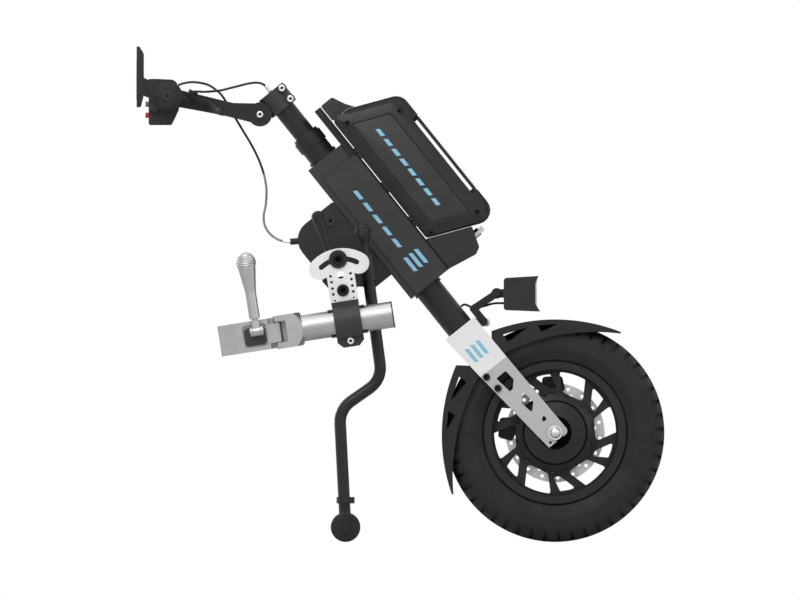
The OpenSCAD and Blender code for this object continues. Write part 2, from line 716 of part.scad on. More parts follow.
// Display behind the bar, facing the rider
display_t = 13.6;
display_w = 66;
display_low = 20.8;
mount_h = 34;
mount_y = 28;
module display_case() {
    color("#17181a") bar_frame() {
        slab(display_w) polygon(rounded([
            [-display_reach, -display_low], [-display_reach + display_t * 0.6, -display_low],
            [-display_reach + display_t, -display_low + display_h * 0.2],
            [-display_reach + display_t, display_h - display_low - display_t],
            [-display_reach + display_t * 0.4, display_h - display_low], [-display_reach, display_h - display_low]],
            [1, 3, 20, 6, 3, 1]));
        both_sides() translate([0, mount_y, 0]) difference() {
            union() {
                cross_rod(bar_clamp_r - over, display_t);
                slab(display_t * 0.7) polygon([
                    [-display_reach + display_t, mount_h], [-display_reach + display_t, 0],
                    [-bar_clamp_r * 0.4, -bar_clamp_r * 0.7], [0, bar_clamp_r * 0.8]]);
            }
            cross_rod(bar_r, display_t * 2);
        }
    }
}

// Switch box on the right of the bar, with two buttons and a thumb throttle
switch_w = 24;
switch_in = 61.5;
switch_y = -switch_in - switch_w / 2;
switch_back = 35;
switch_top = 32;
switch_low = 54;
switch_front = 26;
button_r = 5;
button_out = 6;
button_travel = 2;
throttle_w = 11;
throttle_gap = 1.5;
throttle_y = throttle_w / 2 + throttle_gap - grip_in;
throttle_r = 34;
module switch_case() {
    color("#1a1a1c") bar_frame() translate([0, switch_y, 0]) difference() {
        slab(switch_w) polygon(rounded([
            [-switch_back, switch_top], [-switch_back * 0.6, switch_top], [switch_front * 0.6, switch_top * 0.95],
            [switch_front, 0], [switch_front * 0.8, -switch_low * 0.5], [switch_front * 0.3, -switch_low],
            [-switch_back, -switch_low]], [2, 2, 14, 14, 8, 4, 4]));
        cross_rod(bar_r, switch_w + over);
        for (z = [0, 1]) translate([-switch_back - over, 0, -switch_low * (z == 0 ? 0.28 : 0.66)])
            rotate([0, 90, 0]) cylinder(r = button_r + run, h = button_out + over + button_travel);
    }
}
module switch_button(share) {
    bar_frame() translate([-switch_back - button_out, switch_y, -switch_low * share]) rotate([0, 90, 0])
        union() {
            cylinder(r = button_r, h = button_out * 2 - run - button_travel + over);
        }
}
module mode_button() { color("#2f5fa8") switch_button(0.28); }
module horn_button() { color("#a83232") switch_button(0.66); }
module throttle() {
    color("#242426") bar_frame() translate([0, throttle_y, 0]) difference() {
        union() {
            cross_rod(grip_flange, throttle_w);
            slab(throttle_w) polygon(rounded([
                [0, -grip_flange * 0.8], [-grip_flange * 1.2, -grip_flange * 1.5], [-throttle_r, -grip_flange * 1.2],
                [-throttle_r, -grip_flange * 0.8], [-grip_flange * 0.9, 0]], [0, 6, 3, 3, 0]));
        }
        cross_rod(bar_r + pin_run, throttle_w + over);
    }
}

// Brake levers in perches inboard of the grips
perch_y = 46;
perch_w = 18;
perch_front = 44;
perch_r = 17;
lever_t = 9;
lever_reach = 110;
lever_pin_r = 4;
lever_tilt = 28;
lever_fore = 70;
lever_root = 4.5;
lever_belly = 20;
module brake_perches() {
    color("#18181a") bar_frame() for (s = [-1, 1]) translate([0, s * perch_y, 0]) {
        difference() {
            union() {
                cross_rod(perch_r, perch_w);
                translate([perch_front / 2, 0, 0]) cube([perch_front, perch_w, perch_r], center = true);
                translate([perch_front, 0, 0]) rotate([0, lever_tilt, 0])
                    cylinder(r = perch_w / 2, h = perch_r + over * 2, center = true);
            }
            cross_rod(bar_r, perch_w + over);
            translate([perch_front, 0, 0]) rotate([0, lever_tilt, 0])
                cube([perch_w * 1.7, perch_w + over, lever_t + run * 2], center = true);
        }
        translate([perch_front, 0, 0]) rotate([0, lever_tilt, 0])
            cylinder(r = lever_pin_r, h = perch_r + over * 2, center = true);
    }
}
// Blade of a lever: a curved plan cut to a leaf as seen from its end
lever_x_shares = [0.5, 0.86, 1, 1, 0.84, 0.7, 0.44];
lever_y_shares = [0.03, 0.34, 0.62, 1, 1, 0.62, 0.3];
lever_fillets = [8, 14, 20, 20, 4, 4, 20, 20, 8];
module brake_lever(s) {
    root = perch_w / 2 - run;
    color("#151516") bar_frame() translate([perch_front, s * perch_y, 0]) rotate([0, lever_tilt, 0]) difference() {
        intersection() {
            mirror([0, s < 0 ? 1 : 0, 0]) linear_extrude(height = lever_belly * 2, center = true) polygon(rounded([
                [-root, -root],
                for (i = [0:6]) [lever_fore * lever_x_shares[i], lever_reach * lever_y_shares[i]],
                [-root, root]], lever_fillets));
            slab(lever_reach * 3) polygon(rounded([
                [-perch_w, -lever_root], [perch_w * 0.9, -lever_root], [lever_fore * 0.55, -lever_belly * 0.6],
                [lever_fore + over, -lever_root], [lever_fore + over, 0], [lever_fore * 0.5, lever_belly * 0.4],
                [perch_w * 0.9, lever_root], [-perch_w, lever_root]], [0, 3, 12, 2, 2, 12, 3, 0]));
        }
        cylinder(r = lever_pin_r + pin_run, h = lever_t + over, center = true);
    }
}
module brake_lever_right() { brake_lever(-1); }
module brake_lever_left() { brake_lever(1); }

// Head housing round the steerer, its covers and its bearings
bearing_out = 33;
bearing_h = 12;
edge_r = 3;
module head_housing() {
    color("#1d1e20") column_frame() difference() {
        translate([0, 0, head_t]) linear_extrude(height = head_len) polygon(rounded([
            [-head_back_n, -head_half_w], [rail_n, -head_half_w], [rail_n, head_half_w], [-head_back_n, head_half_w]],
            same(4, edge_r)));
        translate([0, 0, head_t - over]) cylinder(r = steerer_r + wall, h = head_len + over * 2);
        for (t = [head_t - over, head_t + head_len - bearing_h])
            translate([0, 0, t]) cylinder(r = bearing_out, h = bearing_h + over);
    }
}
module housing_covers() {
    color("#202123") column_frame() both_sides() translate([0, head_half_w + cover_t / 2, head_t + run * 2])
        slab(cover_t) polygon(rounded([[-cover_back_n, 0], [-cover_back_n + cover_w, 0],
            [-cover_back_n + cover_w, cover_len], [-cover_back_n, cover_len]], [4, 4, 7, 7]));
}
module headset_bearings() {
    color("silver") column_frame() for (t = [head_t, head_t + head_len - bearing_h])
        translate([0, 0, t]) difference() {
            cylinder(r = bearing_out, h = bearing_h);
            translate([0, 0, -over]) cylinder(r = steerer_r + pin_run, h = bearing_h + over * 2);
        }
}

// Controller case behind the head, with the boss that carries the cross tube
case_half_w = 34;
case_back = 141;
case_low = 419;
case_top = 593;
case_corner = 478;
case_knee = 76;
boss_wall = 4;
key_hole_z = 28.9;
key_hole_r = 10;
gland_r = 6;
gland_len = 14;
cable_r = 2.2;
gland_turn = 55.7;
case_round = 38;
gland_y = 14;
module controller_case() {
    color("#17181a") column_frame() difference() {
        union() {
            slab(case_half_w * 2) polygon(rounded([
                [-head_back_n, case_low], [-head_back_n, case_top], [-case_back, case_top],
                [-case_back, case_corner], [-case_knee, case_low]], [0, 4, case_round, 12, 6]));
            translate([pivot_n, 0, pivot_t]) cross_rod(cross_r + boss_wall, case_half_w * 2);
            translate([case_round - case_back, gland_y, case_top - case_round]) rotate([0, -gland_turn, 0])
                cylinder(r = gland_r, h = case_round + gland_len);
        }
        translate([pivot_n, 0, pivot_t]) {
            cross_rod(cross_r, case_half_w * 2 + over);
            rotate([0, lean - arm_tilt, 0]) translate([0, 0, key_hole_z]) cross_rod(key_hole_r, case_half_w * 2 + over);
        }
    }
}

// Cross tube with a slotted lug at each end for the arm's tilt lock
lug_in = arm_y - sector_t / 2 - run;
tube_lug_t = 10;
lock_z = 58.4;
lug_wing = 36;
lock_r = 12;
module cross_tube() {
    color("#1b1b1d") union() {
        pivot_frame() difference() {
            cross_rod(cross_r, (lug_in - tube_lug_t / 2) * 2);
            cross_rod(cross_r - wall, (lug_in - tube_lug_t * 2) * 2);
            cross_rod(bolt_r + pin_run, lug_in * 3);
        }
        for (s = [-1, 1]) arm_frame(s) translate([0, lug_in - arm_y - tube_lug_t / 2, 0]) slab(tube_lug_t) difference() {
            union() {
                circle(r = cross_r + boss_wall);
                polygon(rounded([
                    [-lock_r, lock_z], [-lug_wing, key_hole_z * 0.8], [-lug_wing * 0.8, key_hole_z * 0.4],
                    [-cross_r, 0], [cross_r, 0], [lug_wing, key_hole_z * 0.2], [lug_wing, key_hole_z * 0.8],
                    [lock_r, lock_z]], [0, 3, 3, 0, 0, 3, 3, 0]));
                translate([0, lock_z]) circle(r = lock_r);
            }
            circle(r = bolt_r + pin_run);
            translate([0, lock_z]) circle(r = bolt_r + pin_run);
            translate([0, key_hole_z]) circle(r = key_hole_r);
        }
    }
}

// Battery dock, its socket and key lock
dock_w = 72;
foot_count = 3;
foot_t = 471.6;
foot_pitch = 81;
foot_len = 24;
lip_h = 5;
socket_w = 88;
socket_drop = 68;
lock_len = 16;
key_r = 8;
module battery_dock() {
    color("#26272a") column_frame() difference() {
        translate([rail_n, -dock_w / 2, head_t]) cube([rail_t, dock_w, rail_top - head_t]);
        both_sides() translate([rail_n + rail_t - lip_h, dock_w / 2 - lip_h, head_t + head_len * 0.2])
            cube([lip_h * 2, lip_h * 2, head_len]);
    }
    color("#26272a") column_frame() for (i = [0:foot_count - 1])
        translate([rail_n + rail_t - over, -dock_w / 4, foot_t + foot_pitch * i - foot_len / 2])
        cube([dock_gap + over - pin_run, dock_w / 2, foot_len]);
}
function slant_t(n) = -(n - batt_n) * tan(batt_slant);
module dock_socket() {
    top = batt_t - run * 2;
    depth = batt_depth;
    far = batt_n + depth * 0.61;
    color("#1c1c1e") column_frame() difference() {
        slab(socket_w) polygon(rounded([
            [rail_n + rail_t, top], [batt_n, top], [far, top + slant_t(far)],
            [far - depth * 0.1, top - socket_drop - lip_h], [far - depth * 0.2, top - socket_drop * 1.18],
            [rail_n + rail_t, top - socket_drop * 1.03]], [0, 0, 3, 6, 8, 0]));
        lock_bore();
    }
}
module lock_bore() {
    far = batt_n + batt_depth * 0.61;
    translate([far - lock_len, 0, batt_t + slant_t(far) - lock_len]) rotate([0, 90, 0])
        cylinder(r = key_r + pin_run, h = lock_len * 3);
}
module battery_lock() {
    far = batt_n + batt_depth * 0.61;
    color("#b4b5b8") column_frame() translate([far - lock_len + run, 0, batt_t + slant_t(far) - lock_len])
        rotate([0, 90, 0]) {
            cylinder(r = key_r, h = lock_len + lip_h);
            translate([0, 0, lock_len + lip_h + wall]) cube([key_r * 1.3, wall, wall * 4], center = true);
        }
}

// Battery: a slanted case with a handle strip, and the latch at its top
batt_r = 26;
strip_t = 7;
strip_gap = 5.5;
strip_from_share = 0.233;
strip_to_share = 0.835;
panel_in = 22;
panel_depth = 3;
latch_seat = 279;
latch_len = 35;
latch_lip = 10.5;
batt_edge_r = 8;
latch_w_share = 0.8;
module batt_outline(inset) {
    n0 = batt_n + inset;
    n1 = batt_n + batt_depth - inset;
    t0 = batt_t + inset;
    t1 = batt_t + batt_len - inset;
    tc = batt_t + latch_seat - inset;
    nc = batt_n + (t1 - tc) / tan(batt_slant);
    polygon(rounded([[n0, t0 + slant_t(n0)], [n1, t0 + slant_t(n1)], [n1, t1 + slant_t(n1)], [nc, tc], [n0, tc]],
                    [batt_edge_r, batt_r, batt_r, 0, batt_edge_r]));
}
module battery_case() {
    n1 = batt_n + batt_depth;
    strip_low = batt_t + slant_t(n1) + batt_len * strip_from_share;
    strip_high = batt_t + slant_t(n1) + batt_len * strip_to_share;
    color("#1a1b1d") column_frame() difference() {
        union() {
            slab(batt_w - panel_in) batt_outline(0);
            slab(batt_w) batt_outline(panel_in / 4);
        }
        translate([n1 - strip_t - strip_gap, -batt_w, strip_low]) cube([batt_depth, batt_w * 2, strip_high - strip_low]);
        both_sides() translate([0, batt_w / 2, 0]) slab(panel_depth * 2) batt_outline(panel_in);
    }
}
strip_ribs = 44;
module battery_handle() {
    n1 = batt_n + batt_depth;
    low = batt_t + slant_t(n1) + batt_len * strip_from_share;
    high = batt_t + slant_t(n1) + batt_len * strip_to_share;
    w = batt_w - panel_in * 2;
    pitch = (high - low) / strip_ribs;
    color("#151516") column_frame() union() {
        translate([n1 - strip_t, -w / 2, low]) cube([strip_t - rib_depth, w, high - low]);
        for (t = [low, high - strip_t]) translate([n1 - strip_t - strip_gap, -w / 2, t]) cube([strip_t, w, strip_t]);
        for (i = [1:strip_ribs - 2]) translate([n1 - strip_t, -w / 2, low + pitch * (i + 0.25)])
            cube([strip_t, w, pitch / 2]);
    }
}
latch_n_shares = [0.76, 1.09, 1.39];
latch_round = 4;
module battery_latch() {
    low = batt_t + latch_seat + run;
    nc = batt_n + (batt_len - latch_seat) / tan(batt_slant);
    lip = batt_n + latch_len * latch_n_shares[2];
    color("#2b2c2f") column_frame() slab(dock_w * latch_w_share) polygon(rounded([
        [batt_n, low], [nc, low], [lip, low + batt_len - latch_seat + slant_t(lip)],
        [batt_n + latch_len * latch_n_shares[1], low + latch_lip],
        [batt_n + latch_len * latch_n_shares[0], low + latch_len], [batt_n, low + latch_len]],
        [0, 0, 0, latch_round, latch_round, latch_round]));
}

// Docking arms: sector plate, tube clamp, sliding tube and frame clamp
sector_r = 20;
slot_in = 4.8;
slot_half = 34.5;
sector_neck = 26;
sector_foot = 30;
hole_r = 2.6;
row_x_shares = [-0.72, 0.72];
row_z = [29, 18, 6, -5, -17.4];
module sector_plate(side) {
    wide = slot_half + 4;
    color("#c9cacc") arm_frame(side) slab(sector_t) difference() {
        union() {
            polygon(concat(
                [for (i = [0:16]) let (a = 90 - wide + wide * i / 8) (lock_z + sector_r) * [cos(a), sin(a)]],
                [for (i = [16:-1:0]) let (a = 90 - wide + wide * i / 8) (lock_z - sector_r) * [cos(a), sin(a)]]));
            for (s = [-1, 1]) translate(lock_z * [sin(s * wide), cos(wide)]) circle(r = sector_r);
            translate([-sector_neck, -sector_foot]) square([sector_neck * 2, sector_foot + lock_z - sector_r]);
        }
        for (i = [0:16]) let (a = 90 - slot_half + slot_half * i / 8)
            translate(lock_z * [cos(a), sin(a)]) circle(r = slot_in);
        polygon(concat(
            [for (i = [0:16]) let (a = 90 - slot_half + slot_half * i / 8) (lock_z + slot_in) * [cos(a), sin(a)]],
            [for (i = [16:-1:0]) let (a = 90 - slot_half + slot_half * i / 8) (lock_z - slot_in) * [cos(a), sin(a)]]));
        translate([0, key_hole_z]) circle(r = key_hole_r - wall);
        circle(r = bolt_r + pin_run);
        for (x = row_x_shares, z = row_z) translate([sector_neck * x, z]) circle(r = hole_r);
    }
}
module sector_plate_right() { sector_plate(-1); }
module sector_plate_left() { sector_plate(1); }

band_w = 50;
band_t = 6;
band_low = 21;
band_cut = 10;
bush_w = 69;
bush_t = 1.6;
bush_open_share = 0.93;
pivot_head_r = 11.3;
module tube_clamp(side) {
    inner = arm_r + run + bush_t;
    color("#1e1e20") arm_frame(side) {
        difference() {
            union() {
                translate([0, 0, -arm_drop]) rotate([0, 90, 0]) cylinder(r = inner + band_t, h = band_w, center = true);
                translate([-band_w / 2, -sector_t / 2 - band_t, -arm_drop]) cube([band_w, sector_t + band_t * 2, arm_drop - sector_neck + band_t]);
                translate([0, 0, -arm_drop]) slab(band_t * 2) polygon([
                    [-band_w / 2, 0], [band_w / 2, 0], [band_w / 2, band_cut - inner - band_low],
                    [band_w / 2 - band_cut, -inner - band_low], [band_cut - band_w / 2, -inner - band_low],
                    [-band_w / 2, band_cut - inner - band_low]]);
            }
            translate([0, 0, -arm_drop]) rotate([0, 90, 0]) cylinder(r = inner, h = band_w + over, center = true);
            translate([-band_w, -sector_t / 2, -sector_foot]) cube([band_w * 2, sector_t, sector_foot * 2]);
            translate([-band_w, -wall / 2, -arm_drop - inner * 2]) cube([band_w * 2, wall, inner * 2]);
            translate([0, -sector_t / 2 - band_t, 0]) cross_rod(cross_r + boss_wall + run, band_t * 2);
        }
        translate([0, 0, -arm_drop]) rotate([0, 90, 0]) difference() {
            cylinder(r = inner, h = bush_w, center = true);
            cylinder(r = arm_r + run, h = bush_w + over, center = true);
            for (s = [-1, 1]) translate([0, 0, s * bush_w / 2])
                cube([arm_r * bush_open_share * 2, arm_r * 3, bush_w - band_w], center = true);
        }
        translate([0, band_t + head_h / 2, -arm_drop - inner - band_low * 0.6]) cross_rod(head_r, head_h);
        translate([0, sector_t / 2 + head_h / 2, 0]) cross_rod(pivot_head_r, head_h);
        translate([0, -tube_lug_t / 2, 0]) cross_rod(bolt_r, sector_t + tube_lug_t * 2);
    }
}
module tube_clamp_right() { tube_clamp(-1); }
module tube_clamp_left() { tube_clamp(1); }

lever_len = 96;
lever_r = 13;
lock_hub_r = 12;
lock_lean = 9;
lock_y = -24;
lock_washer_r = 17;
module lock_lever(side) {
    color("#202022") arm_frame(side) translate([0, 0, lock_z]) {
        translate([0, sector_t / 2 + head_h / 2 + run, 0]) cross_rod(lock_washer_r, head_h);
        translate([0, -tube_lug_t, 0]) cross_rod(bolt_r, sector_t * 2 + tube_lug_t * 2);
        translate([0, lock_y, 0]) {
            cross_rod(lock_hub_r, lock_hub_r);
            translate([-lock_hub_r, 0, 0]) rotate([0, -lock_lean, 0]) bulb_handle(lever_len, lever_r);
        }
    }
}
module lock_lever_right() { lock_lever(-1); }
module lock_lever_left() { lock_lever(1); }

block_front = 85;
block_back = 136.5;
block_half_h = 31;
block_half_w = 26;
block_round = 3;
block_lip = 2;
jaw_half_h = 28.5;
jaw_t = 16;
jaw_out = 5;
hinge_x = 131;
hinge_y = 13;
knuckle_r = 8;
knuckle_half_h = 18;
jaw_start = 146;
seat_in = 16;
tube_in = 24;
module arm_tube(side) {
    color("#c4c5c8") arm_frame(side) translate([-block_front - tube_in, 0, -arm_drop]) rotate([0, 90, 0]) difference() {
        cylinder(r = arm_r, h = arm_front + block_front + tube_in);
        translate([0, 0, tube_in]) cylinder(r = arm_r - wall, h = arm_front + block_front + over);
    }
}
module arm_tube_right() { arm_tube(-1); }
module arm_tube_left() { arm_tube(1); }
module clamp_body(side) {
    color("#c9cacc") arm_frame(side) translate([0, 0, -arm_drop]) {
        difference() {
            union() {
                intersection() {
                    translate([0, 0, -block_half_h]) linear_extrude(height = block_half_h * 2) polygon(rounded([
                        [-block_back, -block_half_w], [-block_front, -block_half_w], [-block_front, block_half_w],
                        [-block_back, block_half_w]], [0, 0, 0, block_round]));
                    translate([-block_back, 0, 0]) rotate([0, 90, 0])
                        cylinder(r1 = block_half_h * 2.4, r2 = block_half_w + block_lip, h = block_back - block_front);
                }
                translate([0, 0, -jaw_half_h]) linear_extrude(height = jaw_half_h * 2) polygon(rounded([
                    [-jaw_reach, -jaw_out], [-jaw_reach, -jaw_out - jaw_t * 0.7], [-jaw_reach + jaw_t, -jaw_out - jaw_t],
                    [-block_back + over, -jaw_out - jaw_t], [-block_back + over, -jaw_out]], [2, 5, 5, 0, 0]));
            }
            translate([-block_front - tube_in, 0, 0]) rotate([0, 90, 0]) cylinder(r = arm_r, h = tube_in * 2);
            translate([-block_back - over, over, -knuckle_half_h - over])
                cube([block_back - hinge_x + knuckle_r * 2 + over, block_half_w * 2, (knuckle_half_h + over) * 2]);
            translate([-jaw_reach + seat_in, 0, 0]) cylinder(r = grip_r, h = block_half_h * 3, center = true);
            translate([-lever_at, -jaw_out, 0]) cross_rod(stud_r * 2.4, stud_in * 2);
        }
        translate([-hinge_x, hinge_y, 0]) cylinder(r = bolt_r, h = block_half_h * 2, center = true);
    }
}
module clamp_body_right() { clamp_body(-1); }
module clamp_body_left() { clamp_body(1); }

lever_at = 170;
lever_z = 8;
ear_t = 5;
ear_gap = 14;
ear_out = 13;
ear_root = 9;
ear_round = 8;
pocket_x = 174;
pocket_w = 22;
pocket_h = 21;
pocket_depth = 7;
pocket_round = 6;
stud_r = 4;
stud_in = 4;
module clamp_jaw(side) {
    color("#bfc0c3") arm_frame(side) translate([0, 0, -arm_drop]) {
        difference() {
            union() {
                translate([0, 0, -jaw_half_h]) linear_extrude(height = jaw_half_h * 2) polygon(rounded([
                    [-jaw_reach, jaw_out], [-jaw_start, jaw_out], [-jaw_start, jaw_out + jaw_t],
                    [-jaw_reach + jaw_t * 2, jaw_out + jaw_t], [-jaw_reach + jaw_t, jaw_out + jaw_t * 0.75],
                    [-jaw_reach, jaw_out + jaw_t * 0.9]], [2, 0, 3, 3, 4, 3]));
                translate([-jaw_start - over, jaw_out, -knuckle_half_h])
                    cube([jaw_start - hinge_x + over, jaw_t, knuckle_half_h * 2]);
                translate([-hinge_x, hinge_y, 0]) cylinder(r = knuckle_r, h = knuckle_half_h * 2, center = true);
                for (s = [-1, 1]) translate([-lever_at + s * (ear_gap + ear_t) / 2, jaw_out + jaw_t - over, 0])
                    rotate([0, 90, 0]) linear_extrude(height = ear_t, center = true) polygon(rounded([
                        [-lever_z - ear_root, 0], [-lever_z - ear_root, ear_out + ear_root],
                        [-lever_z + ear_root, ear_out + ear_root], [-lever_z + ear_root, 0]],
                        [0, ear_round, ear_round, 0]));
            }
            translate([-hinge_x, hinge_y, 0]) cylinder(r = bolt_r + pin_run, h = block_half_h * 3, center = true);
            translate([-jaw_reach + seat_in, 0, 0]) cylinder(r = grip_r, h = block_half_h * 3, center = true);
            translate([-pocket_x, jaw_out + jaw_t - pocket_depth / 2, 0]) slab(pocket_depth + run) difference() {
                polygon(rounded([[-pocket_w, -pocket_h], [pocket_w, -pocket_h], [pocket_w, pocket_h], [-pocket_w, pocket_h]],
                                same(4, pocket_round)));
                translate([pocket_x - lever_at, lever_z]) square([ear_gap + ear_t * 2, ear_root * 2], center = true);
            }
        }
        translate([-lever_at, jaw_out + jaw_t - over + ear_out, lever_z]) rotate([0, 90, 0])
            cylinder(r = bolt_r, h = ear_gap + ear_t * 2 + over, center = true);
        translate([-lever_at, 0, 0]) cross_rod(stud_r, jaw_out * 2);
    }
}
module clamp_jaw_right() { clamp_jaw(-1); }
module clamp_jaw_left() { clamp_jaw(1); }
clamp_stem = 26;
clamp_handle_len = 124;
clamp_handle_r = 19.2;
module clamp_lever(side) {
    color("#c8c9cb") arm_frame(side) translate([-lever_at, jaw_out + jaw_t - over + ear_out, -arm_drop + lever_z]) difference() {
        union() {
            rotate([0, 90, 0]) cylinder(r = ear_root, h = ear_gap - run * 2, center = true);
            translate([0, 0, clamp_stem / 2]) cube([ear_gap - run * 2, ear_root, clamp_stem], center = true);
            translate([0, 0, clamp_stem - over]) bulb_handle(clamp_handle_len, clamp_handle_r);
        }
        rotate([0, 90, 0]) cylinder(r = bolt_r + pin_run, h = ear_gap + over, center = true);
    }
}
module clamp_lever_right() { clamp_lever(-1); }
module clamp_lever_left() { clamp_lever(1); }

// Parking legs: a bent tube in a sleeve on a collar round the cross tube
leg_top = [33.6, 124.8];
leg_knee = [72.6, -165.6];
leg_shin = [-6.5, -221.2];
leg_foot_x = 4.8;
leg_bend = 46;
collar_w = 30;
collar_t = 6;
sleeve_t = 4;
grip_low = 66;
leg_grip_r = 17;
leg_axle_r = 6;
foot_ring_r = 17;
foot_ring_h = 12;
foot_ring_z = 50;
module parking_leg(side) {
    foot = [leg_foot_x, leg_wheel_r - pivot_z];
    up = unit(leg_top - leg_knee);
    start = leg_top - up * grip_low;
    turn = atan2(up[0], up[1]);
    mid = start - up * 18;
    color("#1f1f21") leg_frame(side) {
        swept([for (p = concat([start], fillet(start, leg_knee, leg_shin, leg_bend),
                               fillet(leg_knee, leg_shin, foot, leg_bend), [foot])) [p[0], 0, p[1]]],
              leg_r, leg_sides);
        difference() {
            union() {
                cross_rod(cross_r + collar_t, collar_w);
                slab(collar_w * 0.7) polygon([
                    [0, cross_r], [mid[0], mid[1] + 14], [mid[0] + leg_r * 0.5, mid[1] - 14], [0, -cross_r]]);
                translate([mid[0], 0, mid[1]]) rotate([0, turn, 0]) cylinder(r = leg_r + sleeve_t, h = 48, center = true);
            }
            cross_rod(cross_r + run, collar_w + over);
        }
        translate([start[0], 0, start[1]]) rotate([0, turn, 0]) bulb_handle(grip_low, leg_grip_r);
        translate([foot[0], 0, foot[1] + foot_ring_z]) cylinder(r = foot_ring_r, h = foot_ring_h, center = true);
        translate([foot[0], 0, foot[1]]) {
            cross_rod(leg_r + 2, leg_r * 2);
            translate([0, leg_wheel_w / 2 + leg_r / 2, 0]) cross_rod(leg_axle_r, leg_wheel_w + leg_r);
            translate([0, leg_r + leg_wheel_w + run * 2 + 2, 0]) cross_rod(leg_axle_r + 3, 4 - run);
        }
    }
}
module parking_leg_right() { parking_leg(-1); }
module parking_leg_left() { parking_leg(1); }
module leg_wheel(side) {
    color("#1a1a1b") leg_frame(side)
        translate([leg_foot_x, leg_r + run + leg_wheel_w / 2, leg_wheel_r - pivot_z]) cross_revolve()
        polygon(rounded([
            [leg_axle_r + pin_run, -leg_wheel_w / 2], [leg_wheel_r * 0.55, -leg_wheel_w / 2],
            [leg_wheel_r * 0.6, -leg_wheel_w * 0.42], [leg_wheel_r, -leg_wheel_w * 0.42],
            [leg_wheel_r, leg_wheel_w * 0.42], [leg_wheel_r * 0.6, leg_wheel_w * 0.42],
            [leg_wheel_r * 0.55, leg_wheel_w / 2], [leg_axle_r + pin_run, leg_wheel_w / 2]],
            [0, 1, 0, 5, 5, 0, 1, 0]));
}
module leg_wheel_right() { leg_wheel(-1); }
module leg_wheel_left() { leg_wheel(1); }

// Cables swept along hand-chosen points
control_route = [
    [-413, -73.5, 848.3], [-402, -73, 852], [-388, -70, 854], [-374, -62, 853], [-360, -46, 850], [-350, -27, 845],
    [-342, -7, 839], [-334, 12, 832], [-326, 26, 821], [-318, 32, 806], [-307, 34, 788], [-292, 34, 763],
    [-277, 34, 738], [-264, 34, 712], [-254, 34, 684], [-249, 34, 656], [-250, 33, 628], [-254, 31, 606],
    [-252, 27, 588], [-243, 21, 573], [-230, 16, 563], [-217, 14, 558.6], [-205.4, 14, 557.7]];
brake_route = [
    [-388.7, 36.1, 835.5], [-387.5, 31.5, 836], [-378, 27, 836.5], [-364, 25, 836], [-348, 25, 837], [-332, 24, 839],
    [-316, 22, 843], [-300, 19, 847], [-284, 15, 851], [-269, 11, 853], [-257, 9, 851], [-249, 8, 845],
    [-242.3, 7, 837.3]];
lamp_route = [
    [112.4, 0, 437.3], [117, 0, 440.6], [122, 0, 440.5], [129, 0, 437.5], [137, 0, 436], [146, 0, 436], [157, 0, 438.5],
    [168, 0, 442], [179, 0, 443.5], [191.2, 0, 443.5]];

module brake_cables() { color("#111112") both_sides() swept(brake_route, cable_r, cable_sides); }
module control_cable() { color("#131314") swept(control_route, cable_r, cable_sides); }
module lamp_cable() { color("#131314") swept(lamp_route, cable_r, cable_sides); }

tyre();
rim();
motor_hub();
motor_core();
brake_disc();
axle();
fork();
fork_bolts();
mudguard_front();
mudguard_rear();
lamp_bracket();
lamp_body();
lamp_lens();
brake_calipers();
steerer();
mast();
stem_clamp();
stem_arm();
handlebar();
grips();
display_case();
switch_case();
throttle();
mode_button();
horn_button();
brake_perches();
brake_lever_right();
brake_lever_left();
head_housing();
housing_covers();
headset_bearings();
controller_case();
cross_tube();
battery_dock();
dock_socket();
battery_lock();
battery_case();
battery_handle();
battery_latch();
sector_plate_right();
sector_plate_left();
tube_clamp_right();
tube_clamp_left();
lock_lever_right();
lock_lever_left();
arm_tube_right();
arm_tube_left();
clamp_body_right();
clamp_body_left();
clamp_jaw_right();
clamp_jaw_left();
clamp_lever_right();
clamp_lever_left();
parking_leg_right();
parking_leg_left();
leg_wheel_right();
leg_wheel_left();
brake_cables();
control_cable();
lamp_cable();
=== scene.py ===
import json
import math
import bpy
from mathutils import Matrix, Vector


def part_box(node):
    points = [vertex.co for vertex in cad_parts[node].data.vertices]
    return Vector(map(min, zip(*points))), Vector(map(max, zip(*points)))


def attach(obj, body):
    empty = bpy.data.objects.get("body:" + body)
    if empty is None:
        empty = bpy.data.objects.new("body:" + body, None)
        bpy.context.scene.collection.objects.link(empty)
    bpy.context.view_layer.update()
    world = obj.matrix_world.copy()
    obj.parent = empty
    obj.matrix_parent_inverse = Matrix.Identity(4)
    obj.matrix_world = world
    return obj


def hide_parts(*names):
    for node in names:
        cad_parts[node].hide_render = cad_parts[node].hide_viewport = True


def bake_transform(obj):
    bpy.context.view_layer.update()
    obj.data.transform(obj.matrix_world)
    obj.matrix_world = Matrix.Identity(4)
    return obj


bl_info = {
    "name": "Wheelchair power assist dressing",
    "version": (1, 0, 0),
    "blender": (4, 5, 0),
    "location": "View3D > Sidebar > Power assist",
    "description": "Finishes, cables, screws and trim for the packed wheelchair power assist",
    "category": "Object",
}

import bmesh
import bpy
from mathutils import Matrix, Vector

